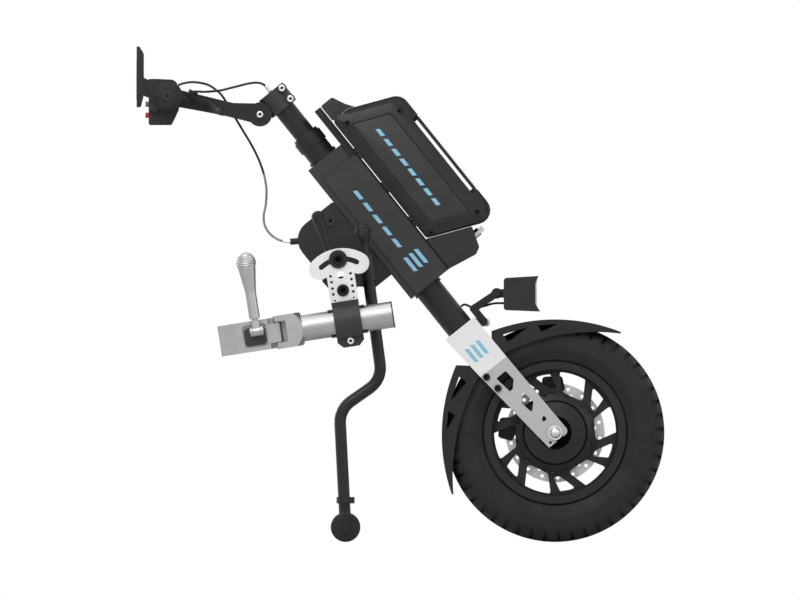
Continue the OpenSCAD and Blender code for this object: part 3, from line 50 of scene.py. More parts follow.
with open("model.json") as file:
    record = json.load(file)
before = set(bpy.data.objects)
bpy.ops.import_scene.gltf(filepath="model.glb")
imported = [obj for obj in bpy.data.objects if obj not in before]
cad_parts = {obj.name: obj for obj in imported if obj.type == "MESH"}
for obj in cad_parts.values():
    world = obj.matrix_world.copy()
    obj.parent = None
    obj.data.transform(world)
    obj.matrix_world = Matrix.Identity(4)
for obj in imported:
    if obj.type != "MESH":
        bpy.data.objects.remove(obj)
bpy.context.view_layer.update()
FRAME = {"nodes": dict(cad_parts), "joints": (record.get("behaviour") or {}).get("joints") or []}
NODES = FRAME["nodes"]
JOINTS = {joint["name"]: joint for joint in FRAME["joints"]}
PHOTO_SIZE = (800, 600)
PIXEL = 0.001857
PHOTO_ORIGIN = (400.48, 542.0)
NEAR = -1
RIGHT_LEFT = (("right", -1), ("left", 1))
OUTSIDE = 2.0
FACING = 0.9
SMOOTH_BELOW = math.radians(35)


def basis(x, y, z, origin):
    """The matrix of a local frame from its three axes and its origin."""
    frame = Matrix((x, y, z)).transposed().to_4x4()
    frame.translation = origin
    return frame


UP_COLUMN = Vector(JOINTS["steer"]["axis"])
OFF_COLUMN = Vector((UP_COLUMN.z, 0, -UP_COLUMN.x))
HEAD = Vector(JOINTS["steer"]["pos_m"])
COLUMN = basis(OFF_COLUMN, Vector((0, 1, 0)), UP_COLUMN, HEAD)
AXLE = Vector(JOINTS["wheel_spin"]["pos_m"])
BAR = Vector(JOINTS["throttle_turn"]["pos_m"])
PIVOT = Vector(JOINTS["arm_tilt_right"]["pos_m"])
STEM = Vector(JOINTS["stem_tilt"]["pos_m"])
ARM_X = Vector(JOINTS["arm_slide_right"]["axis"])
ARM_Z = Vector((-ARM_X.z, 0, ARM_X.x))
ARM_TURN = math.atan2(ARM_X.z, ARM_X.x)


# Sizes and colours


def colour_property(name, description, default):
    """A colour that a user can change."""
    return bpy.props.FloatVectorProperty(
        name=name, description=description, subtype="COLOR", size=3, min=0, max=1, default=default)


def length_property(name, description, default, low, high, precision=4):
    """A length in metres that a user can change."""
    return bpy.props.FloatProperty(
        name=name, description=description, subtype="DISTANCE", unit="LENGTH", default=default, min=low, max=high,
        precision=precision)


class AssistFinishes(bpy.types.PropertyGroup):
    """Colours of the finishes."""

    coat: colour_property("Powder coat", "Colour of the coated tubes and housings", (0.036, 0.036, 0.037))
    plastic: colour_property("Moulded plastic", "Colour of the moulded cases", (0.022, 0.022, 0.023))
    border: colour_property(
        "Battery border", "Colour of the battery's case and of its covers' bevels", (0.019, 0.019, 0.020))
    panel: colour_property("Battery panel", "Colour of the panels of the battery's covers", (0.038, 0.038, 0.039))
    rubber: colour_property("Rubber", "Colour of the grips, wheels and cable sheaths", (0.018, 0.018, 0.018))
    tyre: colour_property("Tyre", "Colour of the tyre's tread", (0.018, 0.018, 0.018))
    cast: colour_property("Anodised black", "Colour of the rim, hub and levers", (0.016, 0.016, 0.017))
    # The cheek's white and the blade's grey are partly the fork's paint and partly painted light: the upper plates
    # painted lit, the bent lower blades painted in shade.
    cheek: colour_property("Fork cheek", "Paint on the fork's upper plates", (0.82, 0.82, 0.82))
    blade: colour_property("Fork blade", "Paint on the fork's lower plates", (0.47, 0.47, 0.47))
    plate: colour_property("Sector plate", "Colour of the tilt plates", (0.66, 0.66, 0.66))
    aluminium: colour_property("Satin aluminium", "Colour of the arms and clamps", (0.43, 0.43, 0.435))
    steel: colour_property("Steel", "Colour of the disc, axle and screws", (0.66, 0.66, 0.67))
    black_steel: colour_property("Black steel", "Colour of the blackened screws", (0.020, 0.020, 0.021))
    # Painted shade: near-black, laid inside the screws' sockets and on the hub's dark rings.
    recess: colour_property("Socket", "Colour inside the screws' sockets", (0.004, 0.004, 0.004))
    grey_sheath: colour_property("Grey sheath", "Colour of the control cable's last stretch", (0.22, 0.22, 0.22))
    accent: colour_property("Accent bars", "Colour of the slanted bars", (0.235, 0.52, 0.70))


class AssistSizes(bpy.types.PropertyGroup):
    """Sizes of the dressed pieces."""

    sheath: length_property("Cable sheath", "Diameter of the cables", 0.0044, 0.002, 0.008)
    screw: length_property("Case screw", "Radius of a case screw's head", 0.0052, 0.002, 0.008)
    clamp_screw: length_property("Clamp screw", "Radius of a clamp screw's head", 0.0062, 0.003, 0.01)
    hub_screw: length_property("Hub screw", "Radius of a hub cover screw's head", 0.0030, 0.001, 0.006)
    case_cap: length_property("Case cap", "Radius of the controller case's round caps", 0.0118, 0.005, 0.02)
    grip_plug: length_property("Grip plug", "Radius of the plugs in the grips' ends", 0.0095, 0.004, 0.015)
    pivot_screw: length_property("Pivot screw", "Radius of the arm pivots' screw heads", 0.0105, 0.005, 0.016)
    ferrule: length_property("Ferrule", "Radius of the cables' ferrules", 0.0036, 0.0024, 0.006)
    cover_wall: length_property("Cover wall", "Height of the battery cover's upright wall", 0.0098, 0.004, 0.02)
    cover_bevel: length_property("Cover bevel", "Width of the battery cover's bevel", 0.0205, 0.005, 0.03)
    cover_rise: length_property("Cover rise", "Height of the battery cover's bevel", 0.0078, 0.002, 0.012)
    cover_corner: length_property("Cover corner", "Cut of the battery cover's corners", 0.0160, 0.004, 0.03)
    cover_groove: length_property(
        "Cover groove", "Width of the groove round the battery's panel", 0.0012, 0.0005, 0.003)
    inlay: length_property("Inlay", "Thickness of the hub's rings and the jaws' plates", 0.0005, 0.0002, 0.002)
    bar_width: length_property("Bar width", "Width of one slanted bar", 0.007, 0.002, 0.02)
    bar_film: length_property("Bar film", "Thickness of the slanted bars", 0.0003, 0.0001, 0.001, 5)


class AssistStage(bpy.types.PropertyGroup):
    """Floor, light and camera."""

    floor: colour_property("Floor", "Colour of the floor", (0.86, 0.86, 0.86))
    ambient: bpy.props.FloatProperty(
        name="Ambient", description="Strength of the light from all round", default=0.3, min=0, max=2)
    key: bpy.props.FloatProperty(
        name="Key", description="Power of the large lamp above the camera", subtype="POWER", default=68, min=0, max=500)


# Helpers for modelling


def begin():
    """Object mode, with nothing selected."""
    if bpy.context.mode != "OBJECT":
        bpy.ops.object.mode_set(mode="OBJECT")
    bpy.ops.object.select_all(action="DESELECT")


def edit():
    """Edit mode on the active piece, with nothing selected."""
    bpy.ops.object.mode_set(mode="EDIT")
    bpy.ops.mesh.select_mode(type="FACE")
    bpy.ops.mesh.select_all(action="DESELECT")


def pick(test):
    """Selects the faces of the piece in edit mode that pass the test."""
    mesh = bmesh.from_edit_mesh(bpy.context.object.data)
    for face in mesh.faces:
        face.select_set(bool(test(face)))
    bmesh.update_edit_mesh(bpy.context.object.data)


def push(x, y, z):
    """Extrudes the selected faces by that much."""
    bpy.ops.mesh.extrude_region_move(TRANSFORM_OT_translate={"value": (x, y, z)})


def face_outwards():
    """Turns the faces of the piece in edit mode outwards and leaves edit mode."""
    bpy.ops.mesh.select_all(action="SELECT")
    bpy.ops.mesh.normals_make_consistent(inside=False)
    begin()


def only(piece):
    """Makes piece the one selected and active object."""
    begin()
    piece.select_set(True)
    bpy.context.view_layer.objects.active = piece


def modify(piece, kind, **settings):
    """Adds a modifier, sets it and applies it."""
    only(piece)
    bpy.ops.object.modifier_add(type=kind)
    modifier = piece.modifiers[-1]
    for key, value in settings.items():
        setattr(modifier, key, value)
    bpy.ops.object.modifier_apply(modifier=modifier.name)


def round_edges(piece, width, angle=40):
    """Rounds the edges of a piece that are sharper than an angle in degrees."""
    modify(piece, "BEVEL", width=width, segments=2, limit_method="ANGLE", angle_limit=math.radians(angle))


def settle(piece, place):
    """Moves a piece to its place and puts the place into its mesh."""
    only(piece)
    piece.matrix_world = place
    bpy.ops.object.transform_apply(location=True, rotation=True, scale=True)


def set_of(piece, places):
    """Copies a piece to each place, each with a mesh of its own, and joins the copies."""
    made = []
    for place in places:
        only(piece)
        bpy.ops.object.duplicate(linked=False)
        copy = bpy.context.object
        settle(copy, place)
        made.append(copy)
    begin()
    bpy.data.objects.remove(piece)
    for copy in made:
        copy.select_set(True)
    bpy.context.view_layer.objects.active = made[0]
    if len(made) > 1:
        bpy.ops.object.join()
    return bpy.context.object


def dress(piece, name, body, material, inner=None):
    """Names a piece, shades it, paints it and lets it ride on its body. Its second material is inner."""
    only(piece)
    piece.name = name
    piece.data.name = name
    bpy.ops.object.shade_smooth_by_angle(angle=SMOOTH_BELOW)
    if inner is None:
        piece.data.materials.clear()
        piece.data.materials.append(material)
    else:
        piece.data.materials[0] = material
        piece.data.materials[1] = inner
    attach(piece, body)
    return piece


def paint(material, *names):
    """Gives CAD nodes a material."""
    for name in names:
        NODES[name].data.materials.clear()
        NODES[name].data.materials.append(material)


def both(*names):
    """The names of the right and left nodes."""
    return [f"{name}_{side}" for name in names for side, _ in RIGHT_LEFT]


def photo_point(px, py):
    """The point of the centre plane that a pixel of the photograph shows."""
    return Vector(((px - PHOTO_ORIGIN[0]) * PIXEL, 0, (PHOTO_ORIGIN[1] - py) * PIXEL))


def skin(name, point, side=NEAR):
    """The point of the surface of a CAD node or a piece that faces that side, at the point's X and Z."""
    solid = NODES.get(name) or bpy.data.objects[name]
    hit, place, _, _ = solid.ray_cast(Vector((point.x, side * OUTSIDE, point.z)), Vector((0, -side, 0)))
    if not hit:
        raise RuntimeError(f"{name} isn't at {point.x:.4f}, {point.z:.4f}")
    return place


def facing(place, side=NEAR, turn=0.0):
    """The frame at a place whose Z axis points out to that side."""
    return Matrix.Translation(place) @ Matrix.Rotation(turn, 4, "Y") @ Matrix.Rotation(-side * math.pi / 2, 4, "X")


# Helpers for finishes


def surface(name):
    """A new material: its tree, its shader and the place on the piece that its patterns read."""
    material = bpy.data.materials.new(name)
    material.use_nodes = True
    tree = material.node_tree
    return material, tree, tree.nodes["Principled BSDF"], tree.nodes.new("ShaderNodeTexCoord").outputs["Object"]


def give(tree, socket, value):
    """Links a socket to another one, or sets its number or colour."""
    if isinstance(value, bpy.types.NodeSocket):
        tree.links.new(value, socket)
    else:
        socket.default_value = value


def calc(tree, operation, *values):
    """The result of a Math node."""
    node = tree.nodes.new("ShaderNodeMath")
    node.operation = operation
    for socket, value in zip(node.inputs, values):
        give(tree, socket, value)
    return node.outputs[0]


def vector(tree, operation, a, b):
    """A Vector Math node of two inputs."""
    node = tree.nodes.new("ShaderNodeVectorMath")
    node.operation = operation
    give(tree, node.inputs[0], a)
    give(tree, node.inputs[1], b)
    return node


def turned(tree, place, scale, turn=(0, 0, 0)):
    """The place, turned and then stretched."""
    node = tree.nodes.new("ShaderNodeMapping")
    give(tree, node.inputs["Vector"], place)
    node.inputs["Rotation"].default_value = turn
    node.inputs["Scale"].default_value = scale
    return node.outputs[0]


def grain(tree, place, scale, detail=3.0, roughness=0.6):
    """Noise with that many cells to the metre."""
    node = tree.nodes.new("ShaderNodeTexNoise")
    give(tree, node.inputs["Vector"], place)
    node.inputs["Scale"].default_value = scale
    node.inputs["Detail"].default_value = detail
    node.inputs["Roughness"].default_value = roughness
    return node.outputs[0]


def cells(tree, place, scale):
    """The distance to the nearest of scattered points, with that many to the metre."""
    node = tree.nodes.new("ShaderNodeTexVoronoi")
    give(tree, node.inputs["Vector"], place)
    node.inputs["Scale"].default_value = scale
    return node.outputs["Distance"]


def spread(tree, value, low, high, start=0.3, end=0.7):
    """Maps start to low and end to high."""
    node = tree.nodes.new("ShaderNodeMapRange")
    give(tree, node.inputs["Value"], value)
    node.inputs["From Min"].default_value = start
    node.inputs["From Max"].default_value = end
    node.inputs["To Min"].default_value = low
    node.inputs["To Max"].default_value = high
    return node.outputs[0]


def blended(tree, share, a, b):
    """Colour a at share 0, colour b at share 1."""
    node = tree.nodes.new("ShaderNodeMix")
    node.data_type = "RGBA"
    give(tree, node.inputs[0], share)
    for socket, value in ((node.inputs[6], a), (node.inputs[7], b)):
        give(tree, socket, value if isinstance(value, bpy.types.NodeSocket) else (*value[:3], 1))
    return node.outputs[2]


def tint(colour, factor):
    """A colour, lighter or darker."""
    return tuple(min(1.0, c * factor) for c in colour)


def relief(tree, height, depth, normal=None):
    """The normal of a surface with that relief, depth in metres."""
    node = tree.nodes.new("ShaderNodeBump")
    node.inputs["Strength"].default_value = 1.0
    node.inputs["Distance"].default_value = depth
    give(tree, node.inputs["Height"], height)
    if normal is not None:
        give(tree, node.inputs["Normal"], normal)
    return node.outputs[0]


def eased(tree, radius):
    """The normal of a surface whose edges are rounded by that radius."""
    node = tree.nodes.new("ShaderNodeBevel")
    node.samples = 6
    node.inputs["Radius"].default_value = radius
    return node.outputs[0]


def edge_wear(tree, normal, place, scale=60.0):
    """How worn a spot is: 0 on the flats, towards 1 in patches along the edges."""
    true = tree.nodes.new("ShaderNodeNewGeometry").outputs["Normal"]
    bend = calc(tree, "SUBTRACT", 1.0, vector(tree, "DOT_PRODUCT", normal, true).outputs["Value"])
    edge = spread(tree, bend, 0.0, 1.0, 0.02, 0.25)
    return calc(tree, "MULTIPLY", edge, spread(tree, grain(tree, place, scale), 0.0, 1.0, 0.35, 0.65))


def from_axis(tree, place, centre):
    """The distance from an axis along Y through a centre."""
    moved = vector(tree, "SUBTRACT", place, tuple(centre))
    flat = vector(tree, "MULTIPLY", moved.outputs[0], (1, 0, 1))
    return vector(tree, "LENGTH", flat.outputs[0], (0, 0, 0)).outputs["Value"]


def powder_coat(name, colour, roughness=0.46, ease=0.0008, gloss=0.25):
    """Satin coat with orange peel, cloudy patches and lighter edges."""
    material, tree, shader, place = surface(name)
    shader.inputs["Specular IOR Level"].default_value = gloss
    soft = eased(tree, ease)
    cloud = spread(tree, grain(tree, place, 14, 4), 0, 1)
    base = blended(tree, cloud, tint(colour, 0.86), tint(colour, 1.14))
    worn = calc(tree, "MULTIPLY", edge_wear(tree, soft, place), 0.35)
    give(tree, shader.inputs["Base Color"], blended(tree, worn, base, tint(colour, 3.2)))
    give(tree, shader.inputs["Roughness"], spread(tree, grain(tree, place, 46, 5), roughness - 0.07, roughness + 0.08))
    give(tree, shader.inputs["Normal"], relief(tree, grain(tree, place, 900, 2), 0.00005, soft))
    return material


def moulding(name, colour, roughness=0.5, ease=0.0007, pores=1300, gloss=0.25):
    """Moulded plastic with a fine spark-eroded grain."""
    material, tree, shader, place = surface(name)
    shader.inputs["Specular IOR Level"].default_value = gloss
    soft = eased(tree, ease)
    cloud = spread(tree, grain(tree, place, 20, 3), 0, 1)
    base = blended(tree, cloud, tint(colour, 0.88), tint(colour, 1.12))
    worn = calc(tree, "MULTIPLY", edge_wear(tree, soft, place), 0.25)
    give(tree, shader.inputs["Base Color"], blended(tree, worn, base, tint(colour, 2.6)))
    give(tree, shader.inputs["Roughness"], spread(tree, grain(tree, place, 60, 4), roughness - 0.06, roughness + 0.08))
    give(tree, shader.inputs["Normal"], relief(tree, cells(tree, place, pores), 0.00006, soft))
    return material


def satin_metal(name, colour, roughness, stretch=(1, 1, 1), turn=(0, 0, 0), ease=0.0006, streaks=700, depth=0.00002):
    """Bare metal with the fine lines that machining or brushing leaves along one way."""
    material, tree, shader, place = surface(name)
    lines = grain(tree, turned(tree, place, stretch, turn), streaks, 3)
    cloud = spread(tree, grain(tree, place, 22, 4), 0, 1)
    soft = eased(tree, ease)
    base = blended(tree, cloud, tint(colour, 0.93), tint(colour, 1.05))
    give(tree, shader.inputs["Base Color"], blended(tree, spread(tree, lines, 0, 0.3), base, tint(colour, 0.7)))
    shader.inputs["Metallic"].default_value = 1.0
    give(tree, shader.inputs["Roughness"], spread(tree, lines, roughness - 0.06, roughness + 0.1))
    give(tree, shader.inputs["Normal"], relief(tree, lines, depth, soft))
    return material


def ringed_metal(name, colour, roughness, centre, pitch=0.0009):
    """Bare metal ground in rings about an axle."""
    material, tree, shader, place = surface(name)
    rings = calc(tree, "SINE", calc(tree, "MULTIPLY", from_axis(tree, place, centre), math.tau / pitch))
    lines = calc(tree, "ADD", calc(tree, "MULTIPLY", rings, 0.25), grain(tree, place, 120, 4))
    share = spread(tree, lines, 0, 1, 0.2, 0.9)
    give(tree, shader.inputs["Base Color"], blended(tree, share, tint(colour, 0.85), colour))
    shader.inputs["Metallic"].default_value = 1.0
    give(tree, shader.inputs["Roughness"], spread(tree, lines, roughness - 0.05, roughness + 0.1, 0.2, 0.9))
    give(tree, shader.inputs["Normal"], relief(tree, lines, 0.00002, eased(tree, 0.0004)))
    return material


def rubber(name, colour, roughness=0.62, ease=0.0006):
    """Soft rubber: dull, with a dusty bloom and a fine grain."""
    material, tree, shader, place = surface(name)
    shader.inputs["Specular IOR Level"].default_value = 0.2
    bloom = spread(tree, grain(tree, place, 30, 5), 0, 1, 0.4, 0.75)
    give(tree, shader.inputs["Base Color"], blended(tree, bloom, tint(colour, 0.85), tint(colour, 1.5)))
    give(tree, shader.inputs["Roughness"], spread(tree, grain(tree, place, 70, 4), roughness - 0.08, roughness + 0.1))
    shader.inputs["Sheen Weight"].default_value = 0.08
    give(tree, shader.inputs["Normal"], relief(tree, grain(tree, place, 1100, 2), 0.00005, eased(tree, ease)))
    return material


TYRE_RINGS = 0.0030
WALL_INNER = (0.142, 0.146)
WALL_OUTER = (0.160, 0.164)
LENS_FLUTES = 0.004
FORK_BORDER = 0.167
BORDER_BLUR = 0.0004
PAINT_DUST = (0.25, 0.25, 0.26)


def tyre_rubber(name, colour, centre):
    """Tyre rubber, with fine moulded rings on the sidewall."""
    material, tree, shader, place = surface(name)
    reach = from_axis(tree, place, centre)
    rings = calc(tree, "SINE", calc(tree, "MULTIPLY", reach, math.tau / TYRE_RINGS))
    wall = calc(tree, "MULTIPLY", spread(tree, reach, 0, 1, *WALL_INNER), spread(tree, reach, 1, 0, *WALL_OUTER))
    shader.inputs["Specular IOR Level"].default_value = 0.2
    bloom = spread(tree, grain(tree, place, 24, 5), 0, 1, 0.35, 0.75)
    give(tree, shader.inputs["Base Color"], blended(tree, bloom, tint(colour, 0.85), tint(colour, 1.35)))
    give(tree, shader.inputs["Roughness"], spread(tree, grain(tree, place, 50, 5), 0.50, 0.68))
    height = calc(tree, "ADD", calc(tree, "MULTIPLY", rings, calc(tree, "MULTIPLY", wall, 0.5)),
                  calc(tree, "MULTIPLY", grain(tree, place, 800, 2), 0.4))
    give(tree, shader.inputs["Normal"], relief(tree, height, 0.00018, eased(tree, 0.0008)))
    return material


def two_tone_and_painted_light(name, upper, lower, border):
    """Satin paint that changes from one colour to another across the column: partly two tones of paint, partly painted
    light, lit on the upper plates and painted shade on the bent lower blades.
    """
    material, tree, shader, place = surface(name)
    along = vector(tree, "DOT_PRODUCT", vector(tree, "SUBTRACT", place, tuple(HEAD)).outputs[0], tuple(UP_COLUMN))
    share = spread(tree, along.outputs["Value"], 0, 1, border - BORDER_BLUR, border + BORDER_BLUR)
    cloud = spread(tree, grain(tree, place, 16, 4), 0, 1)
    soft = eased(tree, 0.0007)
    base = blended(tree, share, lower, upper)
    base = blended(tree, calc(tree, "MULTIPLY", cloud, 0.07), base, PAINT_DUST)
    give(tree, shader.inputs["Base Color"], base)
    give(tree, shader.inputs["Roughness"], spread(tree, grain(tree, place, 60, 4), 0.36, 0.5))
    give(tree, shader.inputs["Normal"], relief(tree, grain(tree, place, 1000, 2), 0.00003, soft))
    return material


def clear_lens(name):
    """Clear moulding with fine upright flutes."""
    material, tree, shader, place = surface(name)
    flutes = calc(tree, "SINE", calc(tree, "MULTIPLY", vector(tree, "DOT_PRODUCT", place, (0, 1, 0)).outputs["Value"],
                                     math.tau / LENS_FLUTES))
    shader.inputs["Base Color"].default_value = (0.86, 0.88, 0.89, 1)
    shader.inputs["IOR"].default_value = 1.49
    shader.inputs["Transmission Weight"].default_value = 0.55
    give(tree, shader.inputs["Roughness"], spread(tree, grain(tree, place, 60, 3), 0.06, 0.16))
    give(tree, shader.inputs["Normal"], relief(tree, flutes, 0.0002))
    return material


def film(name, colour):
    """A thin printed film: satin, slightly cloudy."""
    material, tree, shader, place = surface(name)
    cloud = spread(tree, grain(tree, place, 40, 4), 0, 1)
    give(tree, shader.inputs["Base Color"], blended(tree, cloud, tint(colour, 0.94), tint(colour, 1.05)))
    give(tree, shader.inputs["Roughness"], spread(tree, grain(tree, place, 90, 3), 0.36, 0.48))
    give(tree, shader.inputs["Normal"], relief(tree, grain(tree, place, 700, 2), 0.00002))
    return material


def dark_glass(name):
    """Smoked glass with faint smears."""
    material, tree, shader, place = surface(name)
    smear = grain(tree, turned(tree, place, (1, 3, 1)), 26, 5)
    base = blended(tree, spread(tree, smear, 0, 1), (0.006, 0.007, 0.008), (0.012, 0.013, 0.015))
    give(tree, shader.inputs["Base Color"], base)
    give(tree, shader.inputs["Roughness"], spread(tree, smear, 0.05, 0.14))
    shader.inputs["Coat Weight"].default_value = 0.6
    return material


FINISH = {}
RED = (0.42, 0.02, 0.02)
GREY = (0.16, 0.16, 0.165)


# Operators


FLOOR_SIZE = 9
FLOOR_CUTS = 6
CAMERA_BACK = 4
LAMPS = (
    ("key", (-0.9, -2.6, 2.7), (0, 0, 0.45), 2.4, 1.0),
    ("top", (-0.2, 0.3, 3.2), (0, 0, 0.45), 2.6, 0.5),
    ("side", (2.6, -1.2, 1.2), (0.1, 0, 0.4), 1.6, 0.15),
    ("back", (-1.8, 2.2, 1.8), (0, 0, 0.5), 1.8, 0.4))


class ASSIST_OT_stage(bpy.types.Operator):
    """Makes the floor, the lamps, the background and the camera"""

    bl_idname = "assist.stage"
    bl_label = "Stage"

    def execute(self, context):
        look = context.scene.assist_stage
        begin()
        bpy.ops.mesh.primitive_plane_add(size=FLOOR_SIZE, location=(0, 0, 0))
        floor = context.object
        floor.name = "floor"
        edit()
        bpy.ops.mesh.select_all(action="SELECT")
        bpy.ops.mesh.subdivide(number_cuts=FLOOR_CUTS)
        begin()
        material, tree, shader, place = surface("pale_floor")
        cloud = spread(tree, grain(tree, place, 3, 3), 0, 1)
        give(tree, shader.inputs["Base Color"], blended(tree, cloud, tint(look.floor, 0.99), look.floor))
        shader.inputs["Roughness"].default_value = 0.9
        floor.data.materials.append(material)
        self.background(context, look)
        for name, place, aim, size, share in LAMPS:
            begin()
            bpy.ops.object.light_add(type="AREA", location=place)
            lamp = context.object
            lamp.name = name
            lamp.data.energy = look.key * share
            lamp.data.size = size
            lamp.rotation_euler = (Vector(aim) - Vector(place)).to_track_quat("-Z", "Y").to_euler()
        middle = photo_point(PHOTO_SIZE[0] / 2, PHOTO_SIZE[1] / 2)
        begin()
        bpy.ops.object.camera_add(location=(middle.x, -CAMERA_BACK, middle.z), rotation=(math.pi / 2, 0, 0))
        camera = context.object
        camera.data.type = "ORTHO"
        camera.data.ortho_scale = PHOTO_SIZE[0] * PIXEL
        context.scene.camera = camera
        context.scene.view_settings.view_transform = "Standard"
        return {"FINISHED"}

    def background(self, context, look):
        """White where the camera, a reflection or glass sees it, and a plain level as light."""
        world = bpy.data.worlds.new("studio")
        context.scene.world = world
        world.use_nodes = True
        tree = world.node_tree
        sky = tree.nodes["Background"]
        path = tree.nodes.new("ShaderNodeLightPath").outputs
        seen = calc(tree, "MAXIMUM", path["Is Camera Ray"], path["Is Transmission Ray"])
        seen = calc(tree, "MAXIMUM", seen, path["Is Glossy Ray"])
        sky.inputs["Color"].default_value = (1, 1, 1, 1)
        give(tree, sky.inputs["Strength"], spread(tree, seen, look.ambient, 1.0, 0.0, 1.0))


PAINTED = {
    "coat": ("head_housing", "housing_covers", "stem_clamp", *both("tube_clamp")),
    "tube": ("steerer", "mast", "stem_arm", "handlebar", "cross_tube", "lamp_bracket", "battery_dock",
             *both("parking_leg")),
    "plastic": ("controller_case", "dock_socket", "display_case", "switch_case", "lamp_body", "throttle"),
    "shell": ("battery_case",),
    "panel": ("battery_latch",),
    "guard": ("mudguard_front", "mudguard_rear", "battery_handle"),
    "handle": both("lock_lever"),
    "cast": ("rim", "motor_hub", "brake_calipers", "brake_perches", *both("brake_lever")),
    "rubber": ("grips", *both("leg_wheel")),
    "tyre": ("tyre",),
    "fork": ("fork",),
    "plate": both("sector_plate"),
    "arm": both("arm_tube"),
    "clamp": both("clamp_body", "clamp_jaw"),
    "handle_metal": both("clamp_lever"),
    "steel": ("axle", "motor_core", "headset_bearings", "battery_lock"),
    "disc": ("brake_disc",),
    "black_steel": ("fork_bolts",),
    "lens": ("lamp_lens",),
    "red": ("horn_button",),
    "grey": ("mode_button",),
    "sheath": ("control_cable", "brake_cables", "lamp_cable"),
}


class ASSIST_OT_finishes(bpy.types.Operator):
    """Makes the finishes and gives them to the CAD nodes"""

    bl_idname = "assist.finishes"
    bl_label = "Finishes"

    def execute(self, context):
        look = context.scene.assist_finishes
        along_arm = (0.04, 1, 1)
        arm_turn = (0, ARM_TURN, 0)
        FINISH.update(
            coat=powder_coat("satin_coat", look.coat),
            tube=powder_coat("tube_coat", tint(look.coat, 0.45), 0.32),
            plastic=moulding("black_moulding", look.plastic),
            shell=moulding("battery_shell", look.border, 0.40),
            panel=moulding("battery_panel", look.panel, 0.44),
            guard=moulding("mudguard_moulding", tint(look.plastic, 0.65), 0.42),
            handle=moulding("handle_moulding", tint(look.plastic, 0.7), 0.38),
            cast=powder_coat("anodised_black", look.cast, 0.40),
            rubber=rubber("soft_rubber", look.rubber),
            sheath=rubber("cable_sheath", tint(look.rubber, 0.8), 0.42),
            grey_sheath=rubber("grey_sheath", look.grey_sheath, 0.4),
            tyre=tyre_rubber("tyre_tread", look.tyre, AXLE),
            # The fork's split is partly its paint and partly painted light and painted shade across the bend.
            fork=two_tone_and_painted_light("fork_paint_and_painted_light", look.cheek, look.blade, FORK_BORDER),
            plate=satin_metal("sector_aluminium", look.plate, 0.5, (1, 1, 0.05), arm_turn),
            arm=satin_metal("drawn_aluminium", tint(look.aluminium, 0.9), 0.4, along_arm, arm_turn),
            clamp=satin_metal("blasted_aluminium", tint(look.aluminium, 0.9), 0.42, depth=0.00004, streaks=1200),
            handle_metal=satin_metal("turned_aluminium", look.aluminium, 0.42, (1, 1, 0.5), streaks=500),
            steel=satin_metal("plain_steel", look.steel, 0.28),
            # The brake disc's steel is painted 1.48 times lighter: painted light that offsets the shadow the wheel
            # casts on the disc.
            disc=ringed_metal("ground_steel_with_painted_light", tint(look.steel, 1.48), 0.4, AXLE),
            black_steel=satin_metal("black_oxide", look.black_steel, 0.4),
            # socket_shade is painted shade: near-black with no gloss, for the sockets and the hub's rings.
            recess=moulding("socket_shade", look.recess, 0.7, gloss=0.0),
            lens=clear_lens("clear_lens"),
            accent=film("accent_film", look.accent),
            screen=dark_glass("smoked_glass"),
            red=moulding("red_moulding", RED, 0.4),
            grey=moulding("grey_moulding", GREY, 0.45),
        )
        for finish, names in PAINTED.items():
            paint(FINISH[finish], *names)
        return {"FINISHED"}


CONTROL_ROUTE = (
    (-413, -73.5, 848.3), (-402, -73, 852), (-388, -70, 854), (-374, -62, 853), (-360, -46, 850), (-350, -27, 845),
    (-342, -7, 839), (-334, 12, 832), (-326, 26, 821), (-318, 32, 806), (-307, 34, 788), (-292, 34, 763),
    (-277, 34, 738), (-264, 34, 712), (-254, 34, 684), (-249, 34, 656), (-250, 33, 628), (-254, 31, 606),
    (-252, 27, 588), (-243, 21, 573), (-230, 16, 563), (-217, 14, 558.6), (-205.4, 14, 557.7))
BRAKE_ROUTE = (
    (-388.7, 36.1, 835.5), (-387.5, 31.5, 836), (-378, 27, 836.5), (-364, 25, 836), (-348, 25, 837), (-332, 24, 839),
    (-316, 22, 843), (-300, 19, 847), (-284, 15, 851), (-269, 11, 853), (-257, 9, 851), (-249, 8, 845),
    (-242.3, 7, 837.3))
LAMP_ROUTE = (
    (112.4, 0, 437.3), (117, 0, 440.6), (122, 0, 440.5), (129, 0, 437.5), (137, 0, 436), (146, 0, 436), (157, 0, 438.5),
    (168, 0, 442), (179, 0, 443.5), (191.2, 0, 443.5), (196.4, 0, 443.9))

CABLE_STEPS = 6
CABLE_SMOOTH = math.radians(40)
HIGH_CUT = 8 * CABLE_STEPS
LOW_CUT = 14 * CABLE_STEPS
MILLIMETRES = 1000


def smooth_line(route):
    """Points in metres on a smooth line through a route given in millimetres."""
    points = [Vector(p) / MILLIMETRES for p in route]
    ends = [points[0] * 2 - points[1], *points, points[-1] * 2 - points[-2]]
    line = []
    for a, b, c, d in zip(ends, ends[1:], ends[2:], ends[3:]):
        for i in range(CABLE_STEPS):
            t = i / CABLE_STEPS
            square, cube = 2 * a - 5 * b + 4 * c - d, 3 * b - a - 3 * c + d
            line.append(0.5 * (2 * b + (c - a) * t + square * t * t + cube * t ** 3))
    return [*line, points[-1]]


def sheath(name, line, diameter, finish):
    """A round cable along a line, as a mesh."""
    curve = bpy.data.curves.new(name, "CURVE")
    curve.dimensions = "3D"
    spline = curve.splines.new("POLY")
    spline.points.add(len(line) - 1)
    for point, place in zip(spline.points, line):
        point.co = (*place, 1)
    curve.bevel_depth = diameter / 2
    curve.bevel_resolution = 3
    curve.use_fill_caps = True
    piece = bpy.data.objects.new(name, curve)
    bpy.context.scene.collection.objects.link(piece)
    only(piece)
    bpy.ops.object.convert(target="MESH")
    piece = bpy.context.object
    piece.data.materials.clear()
    piece.data.materials.append(finish)
    bpy.ops.object.shade_smooth_by_angle(angle=CABLE_SMOOTH)
    return piece


